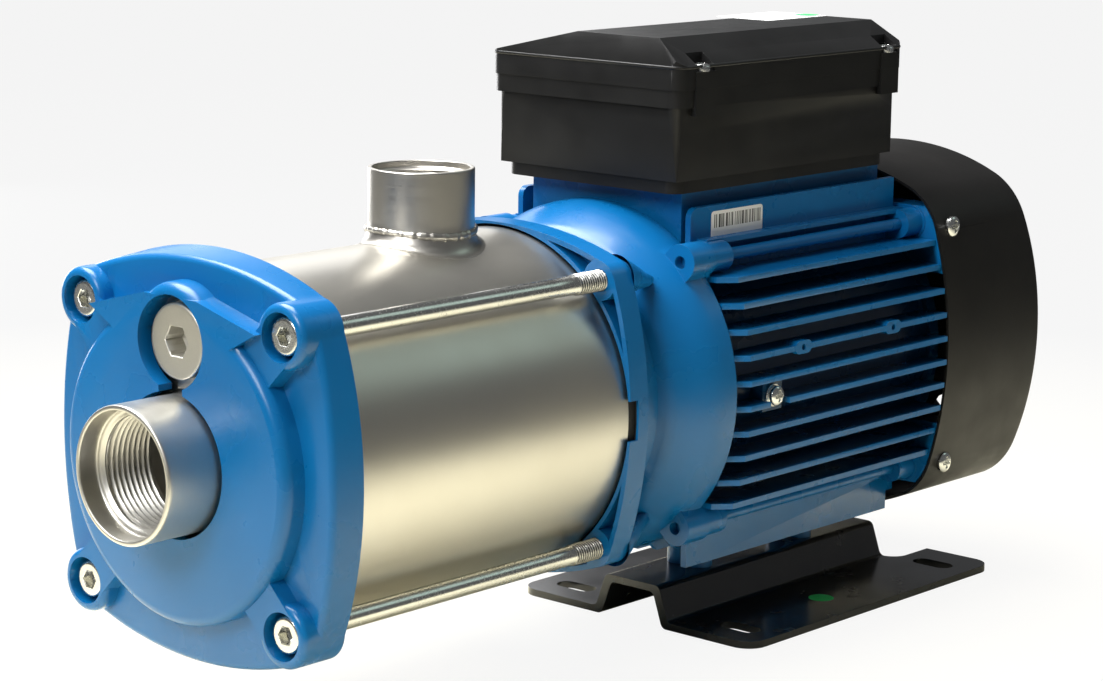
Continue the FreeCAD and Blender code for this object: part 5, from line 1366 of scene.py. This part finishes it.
@dataclass
class Studio:
    """Pale floor, white surroundings and soft lamps."""

    aim: Colour = (0.0, 0.0, 0.1)
    floor_half: float = 4.0
    world_level: float = 0.13
    pool_start: float = 0.28
    pool_reach: float = 0.75
    floor_near: Colour = (0.88, 0.82, 0.61)
    floor_far: Colour = (0.10, 0.10, 0.10)
    glow_share: float = 0.9
    lamps: list[SoftBox] = field(default_factory=lambda: [
        SoftBox("key", (-1.6, -0.25, 1.2), 0.7, 0.7, 22.0),
        SoftBox("top", (-0.25, 0.5, 1.45), 1.1, 1.1, 66.0),
        SoftBox("band", (1.15, -0.85, 1.15), 0.5, 0.7, 0.9, (0.76, 1.0, 0.92)),
        SoftBox("card", (0.35, 1.3, 0.15), 0.6, 0.5, 6.0),
        SoftBox("back", (0.9, 1.5, 0.9), 1.2, 0.8, 5.0),
    ])

    def floor(self) -> None:
        """A pale plane that looks white to the camera and keeps the object's soft shadow. Its tone
        is a painted pool of light: pale near the object, falling to dim further out, by the
        distance from the middle."""
        graph = Graph("pale_floor")
        along, across, _ = graph.axes()
        distance = (along * along + across * across) ** 0.5
        # Painted pool of light: pale near the object, dim further out.
        far = graph.ramp(distance, self.pool_start, self.pool_reach)
        graph.dress(Base_Color=graph.blend(far, self.floor_near, self.floor_far), Roughness=0.9)
        tree = graph.tree
        glow = tree.nodes.new("ShaderNodeEmission")
        glow.inputs["Color"].default_value = (1.0, 1.0, 1.0, 1.0)
        glow.inputs["Strength"].default_value = 1.0
        mix = tree.nodes.new("ShaderNodeMixShader")
        seen = graph.node("ShaderNodeLightPath", output="Is Camera Ray") * self.glow_share
        tree.links.new(seen.socket, mix.inputs[0])
        tree.links.new(graph.shader.outputs[0], mix.inputs[1])
        tree.links.new(glow.outputs[0], mix.inputs[2])
        tree.links.new(mix.outputs[0], graph.output.inputs["Surface"])
        half = self.floor_half
        mesh = bpy.data.meshes.new("floor")
        corners = [(-half, -half, 0), (half, -half, 0), (half, half, 0), (-half, half, 0)]
        mesh.from_pydata(corners, [], [(0, 1, 2, 3)])
        mesh.materials.append(graph.material)
        plane = bpy.data.objects.new("floor", mesh)
        bpy.context.scene.collection.objects.link(plane)

    def surroundings(self) -> None:
        """Even grey light all round, which the camera sees as white."""
        world = bpy.data.worlds.new("studio")
        world.use_nodes = True
        tree = world.node_tree
        tree.nodes.clear()
        light = tree.nodes.new("ShaderNodeBackground")
        light.inputs["Color"].default_value = (0.95, 0.97, 1.0, 1.0)
        light.inputs["Strength"].default_value = self.world_level
        white = tree.nodes.new("ShaderNodeBackground")
        white.inputs["Color"].default_value = (1.0, 1.0, 1.0, 1.0)
        path = tree.nodes.new("ShaderNodeLightPath")
        mix = tree.nodes.new("ShaderNodeMixShader")
        out = tree.nodes.new("ShaderNodeOutputWorld")
        tree.links.new(path.outputs["Is Camera Ray"], mix.inputs[0])
        tree.links.new(light.outputs[0], mix.inputs[1])
        tree.links.new(white.outputs[0], mix.inputs[2])
        tree.links.new(mix.outputs[0], out.inputs["Surface"])
        bpy.context.scene.world = world

    def build(self) -> None:
        """Sets the stage."""
        self.floor()
        self.surroundings()
        for lamp in self.lamps:
            lamp.build(Vector(self.aim))
        bpy.context.scene.view_settings.view_transform = "Standard"


def screw_sets() -> list[CrossScrews]:
    """The small visible screws, where the solids have them."""
    lid = [ScrewSpot((283.5 + s * 59.5, side * 46.3, 122.4), (0.0, 0.0, 1.0))
           for s in (-1, 1) for side in (-1, 1)]
    cover = [ScrewSpot((370.0, side * 63.2, height), (0.0, float(side), 0.0))
             for side in (-1, 1) for height in (-50.0, 50.0)]
    earth = [ScrewSpot((247.0, -66.2, -2.5), (0.0, -1.0, 0.0))]
    return [
        CrossScrews("lid_cross_screws", "terminal_lid_screws", lid, 3.4, 3.2, 2.0, 14.5, "lid"),
        CrossScrews("cover_cross_screws", "fan_cover_screws", cover, 4.2, 2.8, 2.0, 8.0),
        CrossScrews("earth_cross_screw", "earth_screw", earth, 3.9, 3.0, 2.0, 6.5,
                    washer_radius=4.6, washer_height=1.0),
    ]


def main() -> None:
    """Builds the sub-assemblies in order, then the stage."""
    logging.basicConfig(level=logging.INFO, format="%(name)s: %(message)s")
    wardrobe = Wardrobe()
    wardrobe.dress_nodes()
    SoftCastings().build(wardrobe)
    SuctionPort().build(wardrobe)
    DischargePort().build(wardrobe)
    TieBolts().build(wardrobe)
    PrimingPlug().build(wardrobe)
    for screws in screw_sets():
        screws.build(wardrobe)
    BallSet(213.0, "front_bearing_balls", "front_ball_set").build(wardrobe)
    BallSet(370.0, "rear_bearing_balls", "rear_ball_set").build(wardrobe)
    NeckHorns().build(wardrobe)
    LidEave().build(wardrobe)
    Labels().build(wardrobe)
    PhotoCamera().build()
    Studio().build()


if __name__ == "__main__":
    main()
